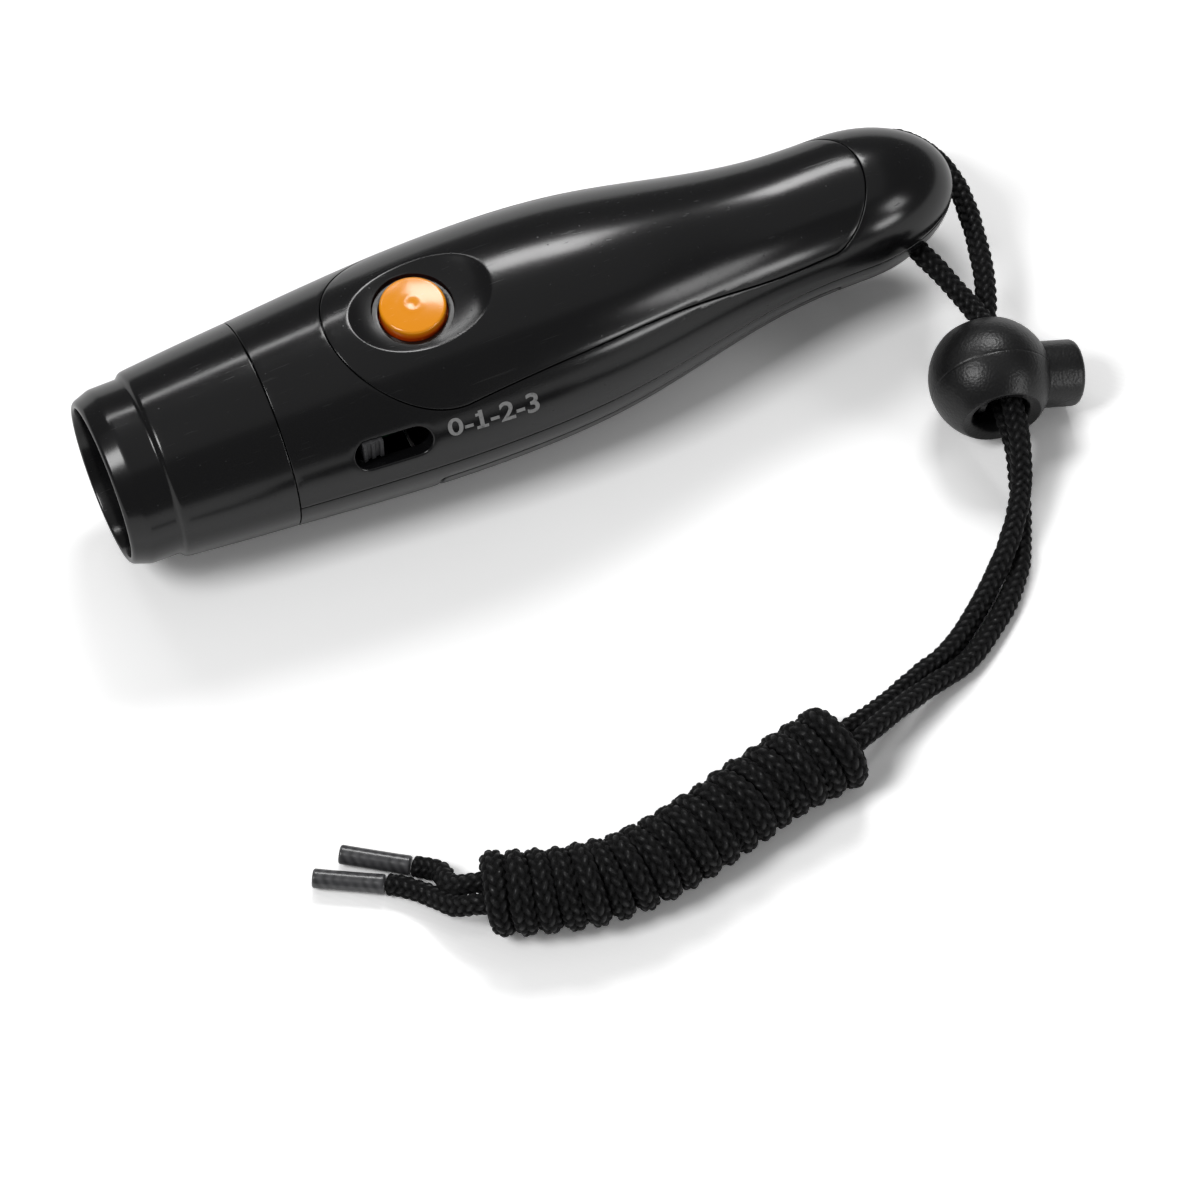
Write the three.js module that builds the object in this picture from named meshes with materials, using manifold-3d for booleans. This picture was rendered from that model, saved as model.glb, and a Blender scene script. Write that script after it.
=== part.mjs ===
// Hand-held electronic whistle with a lanyard, in millimetres.
// +X runs from the sound horn at the front to the tail, +Z is up on the button's side,
// and the origin is under the middle of the whistle, on the surface that it lies on.
import * as THREE from "three";
import { mergeVertices } from "three/addons/utils/BufferGeometryUtils.js";
import Module from "manifold-3d";

const wasm = await Module();
wasm.setup();

// Whole body
const bodyLength = 140;
const bellyRadius = 18.3;
const wall = 2.2;
const fitGap = 0.3;
const seamGap = 0.1;
const roundSides = 28;

// Horn at the front: rim, neck, shoulder and taper, then a spigot inside the housing
const rimRadius = 12.9;
const mouthRadius = 11.8;
const rimChamferLength = 2.9;
const neckRadius = 13.9;
const neckEndX = 7.6;
const shoulderX = 8.6;
const shoulderRadius = 14.85;
const hornEndX = 25.8;
const hornEndRadius = 16.3;
const throatRadius = 10.6;
const throatX = 14.5;
const driverBoreRadius = 13.2;
const spigotEndX = 30.8;
const spigotRadius = 14.4;
const beadStartX = 28.1;
const beadLength = 1.2;
const beadHeight = 0.6;

// Housing outline behind the horn: stations of radius along the body, then a round tail
const housingStations = [
  [31, 16.75],
  [42, 17.6],
  [52, 18.15],
  [62, bellyRadius],
  [72, 18.0],
  [82, 16.95],
  [92, 15.1],
  [102, 13.1],
  [111, 11.9],
];
const tailCapLength = 18;
const tailRadius = 11.6;
const cavityEndX = 124;
const ribXs = [76, 94];
const ribThickness = 1;
const ribDepth = 1.3;
const ribBottomZ = 8;
const outlineSteps = 9;
const capSteps = 5;

// Panel let into the top of the housing
const panelThickness = 1.1;
const panelNoseX = 37.6;
const panelWideX = 54;
const panelHalfWidth = 15.2;
const panelSideStations = [
  [69, 14.45],
  [76, 13.95],
  [93, 12.0],
  [104, 11.1],
];
const panelRearX = 124.6;
const panelRearLength = 9;
const panelRearHalfWidth = 10.3;
const panelEdgeGap = 0.2;

// Oval dish round the button
const dishX = 52;
const dishHalfLength = 11.5;
const dishHalfWidth = 7.8;
const dishDepth = 2.5;
const dishDepthRadius = 4;

// Button and its switch
const buttonX = 51.4;
const buttonRadius = 5.05;
const buttonRise = 2.1;
const buttonEdgeRound = 0.6;
const buttonCrown = 0.5;
const buttonGap = 0.25;
const buttonFlangeRadius = 6.1;
const buttonFlangeThickness = 1;
const buttonStemRadius = 1.5;
const buttonTravel = 1;
const pushSwitchSide = 6;
const pushSwitchHeight = 3.5;
const pushPlungerRadius = 1.7;
const buttonSpringRadius = 2.9;
const buttonSpringWire = 0.5;
const buttonSpringTurns = 5;

// Mode switch in a slot on the near side
const slotFrontX = 35.3;
const slotLength = 12.1;
const slotHeight = 4.9;
const slotZ = 6.75;
const knobX = 38.4;
const knobWidth = 3.2;
const knobHeight = 4.3;
const knobCorner = 0.5;
const knobSetIn = 0.65;
const knobDepth = 2.7;
const knobCap = 1.2;
const knobGrooveWidth = 0.8;
const knobGrooveDepth = 0.5;
const modeTravel = 6;
const switchSetIn = 0.7;
const switchDepth = 4.8;
const switchHeight = 3.6;
const switchWall = 0.6;
const sliderLength = 4.4;
const sliderStemWidth = 2;
const sliderStemHeight = 1.6;

// Circuit board and what stands on it
const boardThickness = 1.4;
const boardFrontX = 37.2;
const boardShoulderX = 88;
const boardBeyondBay = 11.9;
const boardSideRoom = 0.9;
const boardScrewInset = 4;
const boardScrewY = 9;
const chipX = 68;
const chipY = 3.5;
const chipLength = 9.4;
const chipWidth = 6.4;
const chipHeight = 3.2;
const chipLeadPitch = 2.54;
const transistorX = 79;
const transistorY = -7;
const transistorRadius = 2.3;
const transistorHeight = 4.6;
const coilX = 87;
const coilY = 2.5;
const coilRadius = 4;
const coilHeight = 5.6;
const capacitorX = 77.5;
const capacitorY = 5;
const capacitorRadius = 3.1;
const capacitorHeight = 5.8;
const resistorX = [63.5, 68.5];
const resistorY = -6.5;
const resistorLength = 6.3;
const resistorRadius = 1.15;
const resistorBeadLength = 1.4;

// Screws and their bosses
const bossRadius = 2.3;
const seatBossRadius = 3.3;
const screwRadius = 1.3;
const screwHeadRadius = 2.3;
const screwHeadHeight = 1.6;
const driveWidth = 0.6;
const driveDepth = 0.7;
const housingScrews = [
  ["front_near", 34.3, -4.6, -9.3],
  ["front_far", 34.3, 4.6, -9.3],
  ["rear", 120.6, 0, -6.4],
];
const housingScrewReach = 4.5;
const boardScrewReach = 4;

// Two AAA cells side by side, one turned round, in a cradle over the battery door
const cellRadius = 5.25;
const cellLength = 44.5;
const nubRadius = 1.9;
const nubLength = 1;
const cellPitch = 10.8;
const cellZ = -3.6;
const bayFrontX = 50.3;
const contactSpringRoom = 3.3;
const contactThickness = 0.4;
const contactHeight = 7;
const contactWidth = 7;
const cradleThickness = 1.1;
const cradleFloorZ = -9.2;
const contactSpringRadius = 2.6;
const contactSpringWire = 0.5;
const contactSpringTurns = 2.5;

// Battery door under the belly
const doorFrontX = 48;
const doorRearX = 117;
const doorEdgeAngle = 14;
const doorGap = 0.2;
const doorFrontGap = 0.6;
const doorHookY = 5.4;
const doorHookWidth = 2.4;
const doorHookReach = 2.2;
const doorHookThickness = 1.1;
const doorTabLength = 6;
const doorTabHeight = 2.6;
const doorTabThickness = 1.1;
const doorTabXs = [58, 84];
const doorRibThickness = 1.2;
const doorRibStartX = 58;
const doorRibLength = 34;

// Sound driver behind the horn's grille
const grilleThickness = 1.2;
const grilleHubRadius = 2.6;
const grilleSlotOuterRadius = 9.6;
const grilleSpokes = 6;
const grilleSpokeAngle = 16;
const driverLength = 9.2;
const driverRecessDepth = 4;
const driverRimWall = 0.9;
const driverPoleRadius = 2;
const diaphragmThickness = 0.5;
const diaphragmRise = 1.8;
const magnetRadius = 7.2;
const magnetLength = 3;
const ringLength = 2.4;
const ringInnerRadius = 9.6;
const ringNotchWidth = 2.4;

// Wires
const wireRadius = 0.6;
const wireSides = 6;
const wireSteps = 9;

// Lanyard, cord lock and knot
const strandRadius = 1.6;
const strandSides = 8;
const strandSteps = 32;
const strandHoleX = 131;
const strandHoleZ = -5;
const strandHoleRadius = 2.2;
const pairSpacing = 3.5;
const agletRadius = 1.5;
const agletLength = 10.8;
const lockCentre = [132.5, -32.2, 9.5];
const lockRadius = 9.5;
const lockHoleTurn = 10.25;
const lockPlungerDip = 14;
const lockFlat = 7.2;
const lockHoleRadius = 4.2;
const lockHoleChamfer = 1;
const lockPlungerRadius = 5.15;
const lockBoreDepth = 7.5;
const lockPlungerEnd = 13.9;
const lockPlungerRound = 1.1;
const lockPlungerHead = 3;
const lockTravel = 2.4;
const lockSpringRadius = 3.6;
const lockSpringWire = 0.5;
const lockSpringTurns = 2.5;
const knotLoops = 18;
const knotPitch = 3.3;
const knotTubeRadius = 1.15;
const knotCoilRadius = 4.95;
const knotStepsPerLoop = 20;
const knotTubeSides = 6;

// Way of the near strand from the middle of the tail hole to the cord lock, z from the floor
const nearStart = [
  [131, -0.15, 13.3],
  [131, -4.2, 13.3],
  [131.1, -8.6, 13.25],
  [132.5, -12.6, 12.6],
  [133.7, -16.6, 11.9],
  [134.9, -20.8, 11.2],
];
// Way of the far strand, round the end of the tail to the lock
const farStart = [
  [131, 0.15, 13.3],
  [131, 4.2, 13.3],
  [131.1, 8.8, 13.2],
  [132.9, 11.9, 12.8],
  [136.3, 12.2, 12.4],
  [139.7, 9, 12],
  [141.6, 4.2, 11.7],
  [142, -0.8, 11.4],
  [141.5, -5.6, 11],
  [140.6, -10.5, 10.3],
  [139.4, -15.3, 9.4],
  [137.4, -20.3, 8.3],
];
// Middle between the two strands from the lock to the end of the knot, and the near strand's
// turn about it from level, in degrees
const pairRoute = [
  [135.2, -25.4, 9.14, 104],
  [133.9, -32.5, 9.14, 104],
  [132.6, -39.5, 9.1, 104],
  [131.9, -43.2, 8.2, 100],
  [130.9, -46.6, 6.4, 95],
  [129.6, -49.9, 4.5, 90],
  [127.2, -54.2, 3.5, 75],
  [124, -59, 2.9, 48],
  [120.3, -62.9, 2.3, 22],
  [115.4, -66.9, 1.8, 4],
  [109.6, -70.7, 1.9, -8],
  [102.9, -73.1, 2.9, -25],
  [96.2, -75.9, 4.6, -38],
  [89.8, -78.4, 6.1, -30],
  [84.5, -79.8, 6.5, -15],
  [78, -80.9, 6.6, 0],
  [70.5, -82.6, 6.6, 0],
  [63, -84.6, 6.6, 0],
  [55.2, -86.2, 6.6, 0],
  [47.3, -86.8, 6.6, 0],
  [39.5, -85.6, 6.6, 0],
  [32.5, -83.3, 6.6, 0],
  [27.3, -81.1, 6.5, 0],
];
// Tails behind the knot, down to the floor, each into its tip
const nearEnd = [
  [24.3, -77.2, 4.6],
  [24, -73.4, 2.5],
  [22.3, -71.5, 1.66],
  [20.7, -70.4, 1.66],
];
const farEnd = [
  [23.7, -80.6, 4.5],
  [20.8, -75.9, 2.3],
  [17.7, -72.7, 1.66],
  [16, -71.7, 1.66],
];

// Outer outline of the housing from the horn joint to the tail, as [x, radius].
const cavityStartX = hornEndX + seamGap;
const tailCapX = bodyLength - tailCapLength;
const outlineCurve = new THREE.SplineCurve(
  [[hornEndX, hornEndRadius], ...housingStations, [tailCapX, tailRadius]].map(
    ([x, r]) => new THREE.Vector2(x, r),
  ),
);

function housingOutline(inset, endX) {
  const along = outlineCurve.getSpacedPoints(outlineSteps).map((p) => [p.x, p.y - inset]);
  along[0][0] = cavityStartX;
  const capEnd = Math.min(endX, bodyLength - inset);
  const cap = [];
  for (let i = 1; i <= capSteps; i++) {
    const x = tailCapX + (tailCapLength - inset) * Math.sin(((i / capSteps) * Math.PI) / 2);
    const share = (x - tailCapX) / (tailCapLength - inset);
    if (x < capEnd) cap.push([x, (tailRadius - inset) * Math.sqrt(1 - share * share)]);
  }
  const share = (capEnd - tailCapX) / (tailCapLength - inset);
  const endRadius = (tailRadius - inset) * Math.sqrt(Math.max(0, 1 - share * share));
  const outline = [...along, ...cap, [capEnd, endRadius]];
  if (endRadius > 0) outline.push([capEnd, 0]);
  return outline;
}

function radiusAt(x) {
  const outline = housingOutline(0, bodyLength);
  const after = Math.max(
    1,
    outline.findIndex((point) => point[0] >= x),
  );
  const [x0, r0] = outline[after - 1];
  const [x1, r1] = outline[after];
  return r0 + ((r1 - r0) * (x - x0)) / (x1 - x0);
}

// Half the width that the room inside the housing has at a place along it and a height.
function roomHalfWidth(x, z) {
  return Math.sqrt((radiusAt(x) - wall) ** 2 - z * z) - fitGap;
}

// Sizes that follow
const axisHeight = bellyRadius;
const beyond = 2 * bellyRadius;
const dishFloorZ = radiusAt(dishX) - dishDepth;
const buttonTopZ = dishFloorZ + buttonRise;
const knobOuterY = knobSetIn - Math.sqrt(radiusAt(knobX) ** 2 - slotZ ** 2);
const knobInnerY = knobOuterY + knobDepth;
const switchOuterY = knobInnerY + switchSetIn;
const socketRadius = spigotRadius + fitGap;
const grilleX = throatX + fitGap;
const driverRadius = driverBoreRadius - fitGap;
const driverX = grilleX + grilleThickness + fitGap;
const driverEndX = driverX + driverLength;
const boardZ = cellZ + cellRadius + fitGap + cradleThickness + fitGap;
const boardTopZ = boardZ + boardThickness;
const bayRearX = bayFrontX + cellLength + contactSpringRoom;
const boardRearX = bayRearX + boardBeyondBay;
const boardHalfWidth = roomHalfWidth(boardShoulderX, boardTopZ) - boardSideRoom;
const boardRearHalfWidth = roomHalfWidth(boardRearX, boardTopZ) - boardSideRoom;
const boardScrews = [
  ["front", boardFrontX + boardScrewInset, boardScrewY],
  ["rear", boardRearX - boardScrewInset, 0],
];
const flangeTopZ = dishFloorZ - panelThickness - fitGap;
const flangeBottomZ = flangeTopZ - buttonFlangeThickness;
const partZ = boardTopZ + fitGap;
const pushSwitchTopZ = partZ + pushSwitchHeight;
const pushPlungerTopZ = pushSwitchTopZ + buttonTravel;

const materials = {
  glossBlack: [0x0b0b0d, 0.22, 0],
  satinBlack: [0x1b1b1d, 0.5, 0],
  innerBlack: [0x222225, 0.6, 0],
  orange: [0xf07c12, 0.3, 0],
  clearDark: [0x3a3a3d, 0.35, 0],
  cord: [0x0e0e0f, 0.9, 0],
  steel: [0xb9bcc0, 0.35, 1],
  nickel: [0xcfd0cc, 0.3, 1],
  boardGreen: [0x1f5a35, 0.5, 0],
  resin: [0x17171a, 0.45, 0],
  copper: [0xa8602f, 0.4, 1],
  cellJacket: [0x2b2f36, 0.35, 0],
  paperCone: [0x2d2b2a, 0.9, 0],
  ferrite: [0x3b3b3e, 0.7, 0],
  redWire: [0xb3201c, 0.5, 0],
  blackWire: [0x141414, 0.5, 0],
  tan: [0xc9a878, 0.6, 0],
};

// Closed geometry as a manifold-3d solid.
function solidOf(geometry) {
  const bare = geometry.index ? geometry : geometry.clone();
  bare.deleteAttribute("normal");
  bare.deleteAttribute("uv");
  const merged = mergeVertices(bare, 1e-4);
  const corners = merged.index.array;
  const faces = [];
  for (let i = 0; i < corners.length; i += 3) {
    const [a, b, c] = corners.subarray(i, i + 3);
    if (a !== b && b !== c && c !== a) faces.push(a, b, c);
  }
  return new wasm.Manifold(
    new wasm.Mesh({
      numProp: 3,
      vertProperties: new Float32Array(merged.attributes.position.array),
      triVerts: new Uint32Array(faces),
    }),
  );
}

function geometryOf(solid) {
  const mesh = solid.getMesh();
  const geometry = new THREE.BufferGeometry();
  geometry.setAttribute("position", new THREE.BufferAttribute(mesh.vertProperties, 3));
  geometry.setIndex(new THREE.BufferAttribute(mesh.triVerts, 1));
  geometry.computeVertexNormals();
  return geometry;
}

function joined(...solids) {
  return solids.reduce((all, one) => all.add(one));
}

function without(solid, ...cutters) {
  return cutters.reduce((rest, one) => rest.subtract(one), solid);
}

// Turned about the X axis from [x, radius] points, from front to back along the outside.
function turned(profile, sides = roundSides) {
  const points = profile.map(([x, r]) => new THREE.Vector2(r, x));
  return solidOf(new THREE.LatheGeometry(points, sides).rotateZ(-Math.PI / 2));
}

function disc(x0, x1, radius, sides = roundSides) {
  return turned([[x0, 0], [x0, radius], [x1, radius], [x1, 0]], sides);
}

function box([x0, x1], [y0, y1], [z0, z1]) {
  const geometry = new THREE.BoxGeometry(x1 - x0, y1 - y0, z1 - z0);
  return solidOf(geometry.translate((x0 + x1) / 2, (y0 + y1) / 2, (z0 + z1) / 2));
}

function rodX(x0, x1, y, z, radius, sides = 16) {
  const geometry = new THREE.CylinderGeometry(radius, radius, x1 - x0, sides);
  return solidOf(geometry.rotateZ(Math.PI / 2).translate((x0 + x1) / 2, y, z));
}

function rodY(x, y0, y1, z, radius, sides = 16) {
  const geometry = new THREE.CylinderGeometry(radius, radius, y1 - y0, sides);
  return solidOf(geometry.translate(x, (y0 + y1) / 2, z));
}

function rodZ(x, y, z0, z1, radius, sides = 16) {
  const geometry = new THREE.CylinderGeometry(radius, radius, z1 - z0, sides);
  return solidOf(geometry.rotateX(Math.PI / 2).translate(x, y, (z0 + z1) / 2));
}

function extruded(shape, depth, curveSegments = 5) {
  return new THREE.ExtrudeGeometry(shape, { depth, curveSegments, bevelEnabled: false });
}

// Outline in X and Y, raised from z0 to z1.
function plate(shape, z0, z1) {
  return solidOf(extruded(shape, z1 - z0).translate(0, 0, z0));
}

// Outline in Y and Z, drawn out from x0 to x1.
function slab(shape, x0, x1, curveSegments) {
  const toX = new THREE.Matrix4().set(0, 0, 1, x0, 1, 0, 0, 0, 0, 1, 0, 0, 0, 0, 0, 1);
  return solidOf(extruded(shape, x1 - x0, curveSegments).applyMatrix4(toX));
}

// Outline in X and Z, drawn out from y1 down to y0.
function sideCut(shape, y0, y1) {
  const toY = new THREE.Matrix4().set(1, 0, 0, 0, 0, 0, -1, y1, 0, 1, 0, 0, 0, 0, 0, 1);
  return solidOf(extruded(shape, y1 - y0).applyMatrix4(toY));
}

// Rectangle with round ends, centred, with its length across.
function stadium(centreX, centreY, length, height) {
  const straight = (length - height) / 2;
  const shape = new THREE.Shape();
  const quarter = Math.PI / 2;
  shape.absarc(centreX + straight, centreY, height / 2, -quarter, quarter);
  shape.absarc(centreX - straight, centreY, height / 2, quarter, 3 * quarter);
  return shape;
}

// Coiled wire about +Z from z0 to z1, with a closed, round section.
function coil(x, y, z0, z1, coilR, wireR, turns, stepsPerTurn = 8, sides = 5) {
  const rings = Math.round(turns * stepsPerTurn);
  const low = z0 + wireR;
  const high = z1 - wireR;
  const middles = [];
  for (let i = 0; i <= rings; i++) {
    const turn = (i / stepsPerTurn) * 2 * Math.PI;
    const z = low + ((high - low) * i) / rings;
    middles.push(new THREE.Vector3(x + coilR * Math.cos(turn), y + coilR * Math.sin(turn), z));
  }
  return solidOf(tubeGeometry(middles, wireR, sides));
}

// Round tube through points that lie close together, each ring square to the way.
function tubeGeometry(middles, radius, sides) {
  const positions = [];
  const faces = [];
  const last = middles.length - 1;
  const way = middles.map((_, i) => {
    const from = middles[Math.max(i - 1, 0)];
    const to = middles[Math.min(i + 1, last)];
    return to.clone().sub(from).normalize();
  });
  const across = new THREE.Vector3(0, 0, 1).projectOnPlane(way[0]);
  if (across.length() < 0.1) across.set(1, 0, 0).projectOnPlane(way[0]);
  across.normalize();
  middles.forEach((middle, i) => {
    across.projectOnPlane(way[i]).normalize();
    const over = way[i].clone().cross(across);
    for (let k = 0; k < sides; k++) {
      const angle = (k / sides) * 2 * Math.PI;
      const point = middle.clone();
      point.addScaledVector(across, radius * Math.cos(angle));
      point.addScaledVector(over, radius * Math.sin(angle));
      positions.push(point.x, point.y, point.z);
    }
  });
  for (let i = 0; i < last; i++) {
    for (let k = 0; k < sides; k++) {
      const a = i * sides + k;
      const b = i * sides + ((k + 1) % sides);
      faces.push(a, b, a + sides, b, b + sides, a + sides);
    }
  }
  for (let k = 1; k < sides - 1; k++) {
    faces.push(0, k + 1, k);
    faces.push(last * sides, last * sides + k, last * sides + k + 1);
  }
  const geometry = new THREE.BufferGeometry();
  geometry.setAttribute("position", new THREE.Float32BufferAttribute(positions, 3));
  geometry.setIndex(faces);
  return geometry;
}

// The housing's outer form, shrunk by an inset, as one full solid.
function housingForm(inset = 0, endX = bodyLength) {
  return turned([[cavityStartX, 0], ...housingOutline(inset, endX)]);
}

const whole = housingForm();
const cavity = housingForm(wall, cavityEndX);
const room = housingForm(wall + fitGap, cavityEndX - fitGap);
const upperHalf = box([0, bodyLength], [-beyond, beyond], [seamGap / 2, beyond]);
const lowerHalf = box([0, bodyLength], [-beyond, beyond], [-beyond, -seamGap / 2]);

const shell = makeShell();

const whistle = new THREE.Group();
whistle.position.set(-bodyLength / 2, 0, axisHeight);
const part = new THREE.Group();
part.name = "electronic_whistle";
part.add(whistle);

function addMesh(parent, name, geometry, look) {
  const [color, roughness, metalness] = materials[look];
  const material = new THREE.MeshStandardMaterial({ color, roughness, metalness });
  material.name = look;
  const mesh = new THREE.Mesh(geometry, material);
  mesh.name = name;
  parent.add(mesh);
}

function add(name, solid, look, parent = whistle) {
  addMesh(parent, name, geometryOf(solid), look);
}

// Horn: a thin rim, a neck with a shoulder, a taper, and a spigot with a snap bead
function makeHorn() {
  const shoulderRise = shoulderRadius - neckRadius;
  const taperStartX = shoulderX + 0.4;
  const outside = [
    [0, rimRadius - 0.3],
    [0.3, rimRadius],
    [rimChamferLength, neckRadius],
    [neckEndX, neckRadius],
    [neckEndX + 0.4, neckRadius + 0.25 * shoulderRise],
    [shoulderX, neckRadius + 0.85 * shoulderRise],
    [taperStartX, shoulderRadius],
    [(taperStartX + hornEndX) / 2, (shoulderRadius + hornEndRadius) / 2 + 0.05],
    [hornEndX, hornEndRadius],
    [hornEndX, spigotRadius],
    [beadStartX, spigotRadius],
    [beadStartX + beadLength / 2, spigotRadius + beadHeight],
    [beadStartX + beadLength, spigotRadius],
    [spigotEndX, spigotRadius],
  ];
  const inside = [
    [spigotEndX, driverBoreRadius],
    [throatX, driverBoreRadius],
    [throatX, throatRadius],
    [(throatX + 0.8) / 2, (throatRadius + mouthRadius) / 2 - 0.15],
    [0.3, mouthRadius],
    [0, mouthRadius + 0.2],
  ];
  return turned([...outside, ...inside, outside[0]]);
}

// Round grille with a hub and spokes
function makeGrille() {
  const radius = driverBoreRadius - fitGap;
  const outline = new THREE.Shape().absarc(0, 0, radius, 0, 2 * Math.PI);
  const step = (2 * Math.PI) / grilleSpokes;
  const half = step / 2 - THREE.MathUtils.degToRad(grilleSpokeAngle) / 2;
  for (let i = 0; i < grilleSpokes; i++) {
    const middle = i * step;
    const hole = new THREE.Path();
    hole.absarc(0, 0, grilleSlotOuterRadius, middle - half, middle + half);
    hole.absarc(0, 0, grilleHubRadius + 1, middle + half, middle - half, true);
    outline.holes.push(hole);
  }
  return slab(outline, grilleX, grilleX + grilleThickness, 3);
}

// Driver: a cup with a centre pole, a domed diaphragm in it, a magnet and a retaining ring
function makeDriverCase() {
  const floorX = driverX + driverRecessDepth;
  const recessRadius = driverRadius - driverRimWall;
  return turned([
    [floorX - 1.2, 0],
    [floorX - 1.2, driverPoleRadius],
    [floorX, driverPoleRadius],
    [floorX, recessRadius],
    [driverX, recessRadius],
    [driverX, driverRadius],
    [driverEndX, driverRadius],
    [driverEndX, 0],
  ]);
}

function makeDiaphragm() {
  const radius = driverRadius - driverRimWall - fitGap;
  const frontX = driverX + fitGap;
  const steps = 3;
  const front = [];
  const back = [];
  for (let i = 0; i <= steps; i++) {
    const share = i / steps;
    const x = frontX + diaphragmRise * share * share;
    front.push([x, radius * share]);
    back.unshift([x + diaphragmThickness, radius * share]);
  }
  return turned([...front, ...back], 24);
}

function makeMagnet() {
  const x = driverEndX + fitGap;
  return disc(x, x + magnetLength, magnetRadius, 24);
}

function makeDriverRing() {
  const x = driverEndX + fitGap;
  const full = disc(x, x + ringLength, driverRadius);
  const bore = disc(x - 1, x + ringLength + 1, ringInnerRadius);
  const half = ringNotchWidth / 2;
  const notch = box([x - 1, x + ringLength + 1], [-half, half], [0, beyond]);
  return without(full, bore, notch);
}

// Plan of the top panel, grown by a margin
function panelPlan(margin) {
  const shape = new THREE.Shape();
  const noseLength = panelWideX - panelNoseX + margin;
  const rearStart = panelRearX - panelRearLength;
  const stations = [
    [panelWideX, panelHalfWidth],
    ...panelSideStations,
    [rearStart, panelRearHalfWidth],
  ];
  const side = new THREE.SplineCurve(stations.map(([x, y]) => new THREE.Vector2(x, y + margin)));
  const along = side.getPoints(9);
  const quarter = Math.PI / 2;
  shape.absellipse(panelWideX, 0, noseLength, panelHalfWidth + margin, quarter, 3 * quarter);
  along.forEach((p) => shape.lineTo(p.x, -p.y));
  const rearWidth = panelRearHalfWidth + margin;
  shape.absellipse(rearStart, 0, panelRearLength + margin, rearWidth, -quarter, quarter);
  along.reverse().forEach((p) => shape.lineTo(p.x, p.y));
  return shape;
}

// Oval bowl under the button: an ellipsoid that meets the housing in the dish's outline.
function dishForm(margin) {
  const middleZ = dishFloorZ + dishDepthRadius;
  const reach = (crownZ) => Math.sqrt(1 - ((middleZ - crownZ) / dishDepthRadius) ** 2);
  const crownZ = radiusAt(dishX);
  const sideZ = Math.sqrt(crownZ ** 2 - dishHalfWidth ** 2);
  const form = new THREE.SphereGeometry(1, 20, 12).rotateX(Math.PI / 2);
  form.scale(
    dishHalfLength / reach(crownZ) + margin,
    dishHalfWidth / reach(sideZ) + margin,
    dishDepthRadius + margin,
  );
  return solidOf(form.translate(dishX, 0, middleZ));
}

function makeTopPanel() {
  const column = plate(panelPlan(0), 1, beyond);
  const skin = whole.intersect(column).subtract(housingForm(panelThickness));
  const bowl = dishForm(panelThickness).intersect(whole).intersect(column);
  const buttonHole = rodZ(buttonX, 0, 0, beyond, buttonRadius + buttonGap, 28);
  return without(skin.add(bowl), dishForm(0), buttonHole);
}

// Cylindrical boss from a face at z0 into the housing wall at z1
function boss(x, y, z0, z1) {
  const inset = panelThickness + panelEdgeGap + 0.2;
  return rodZ(x, y, z0, z1, bossRadius, 12).intersect(housingForm(inset));
}

function screwHole(x, y, z0, z1) {
  return rodZ(x, y, z0, z1, screwRadius + fitGap, 8);
}

// Both halves before their split: the wall, closed in round the horn's spigot at the front
function makeShell() {
  const collarEndX = spigotEndX + fitGap;
  const hollow = cavity.subtract(disc(0, collarEndX, beyond));
  const socket = disc(0, collarEndX, socketRadius);
  const grooveStartX = beadStartX - fitGap;
  const grooveEndX = beadStartX + beadLength + fitGap;
  return without(whole, hollow, socket, disc(grooveStartX, grooveEndX, socketRadius + beadHeight));
}

function makeUpperHousing() {
  const hoop = housingForm(wall - 0.4).subtract(housingForm(wall + ribDepth));
  const ribs = ribXs.map((x) =>
    hoop.intersect(box([x, x + ribThickness], [-beyond, beyond], [ribBottomZ, beyond])),
  );
  const lowerBosses = housingScrews.map(([, x, y]) => boss(x, y, fitGap, beyond));
  const boardBosses = boardScrews.map(([, x, y]) => boss(x, y, boardTopZ + fitGap, beyond));
  const upper = joined(shell, ...ribs, ...lowerBosses, ...boardBosses).intersect(upperHalf);
  const recessFloor = housingForm(panelThickness + panelEdgeGap);
  const recess = plate(panelPlan(panelEdgeGap), 1, beyond).subtract(recessFloor);
  const bowl = dishForm(panelThickness + fitGap);
  const slotShape = stadium(slotFrontX + slotLength / 2, slotZ, slotLength, slotHeight);
  const slot = sideCut(slotShape, -beyond, switchOuterY);
  const holes = housingScrews.map(([, x, y]) => screwHole(x, y, -1, housingScrewReach + 2 * fitGap));
  const boardHoles = boardScrews.map(([, x, y]) =>
    screwHole(x, y, 0, boardTopZ + boardScrewReach + fitGap),
  );
  return without(upper, recess, bowl, slot, ...holes, ...boardHoles);
}

// The door's sector of the wall: all below the edge angle on both sides
function doorSector(margin, frontMargin = margin) {
  const rise = Math.tan(THREE.MathUtils.degToRad(doorEdgeAngle));
  const reach = beyond;
  const shape = new THREE.Shape();
  shape.moveTo(0, margin);
  shape.lineTo(-reach, margin - reach * rise);
  shape.lineTo(-reach, -reach);
  shape.lineTo(reach, -reach);
  shape.lineTo(reach, margin - reach * rise);
  return slab(shape, doorFrontX - frontMargin, doorRearX + margin);
}

function makeLowerHousing() {
  const bosses = housingScrews.map(([, x, y]) =>
    rodZ(x, y, -beyond, -fitGap, seatBossRadius, 14).intersect(housingForm(0.4)),
  );
  const opening = doorSector(0).intersect(housingForm(-1).subtract(housingForm(wall + 0.4)));
  const strandHole = rodY(strandHoleX, -beyond, beyond, strandHoleZ, strandHoleRadius);
  const cuts = housingScrews.flatMap(([, x, y, seatZ]) => [
    screwHole(x, y, -beyond, 1),
    rodZ(x, y, -beyond, seatZ, screwHeadRadius + fitGap, 14),
  ]);
  return without(joined(shell, ...bosses).intersect(lowerHalf), opening, strandHole, ...cuts);
}

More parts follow.
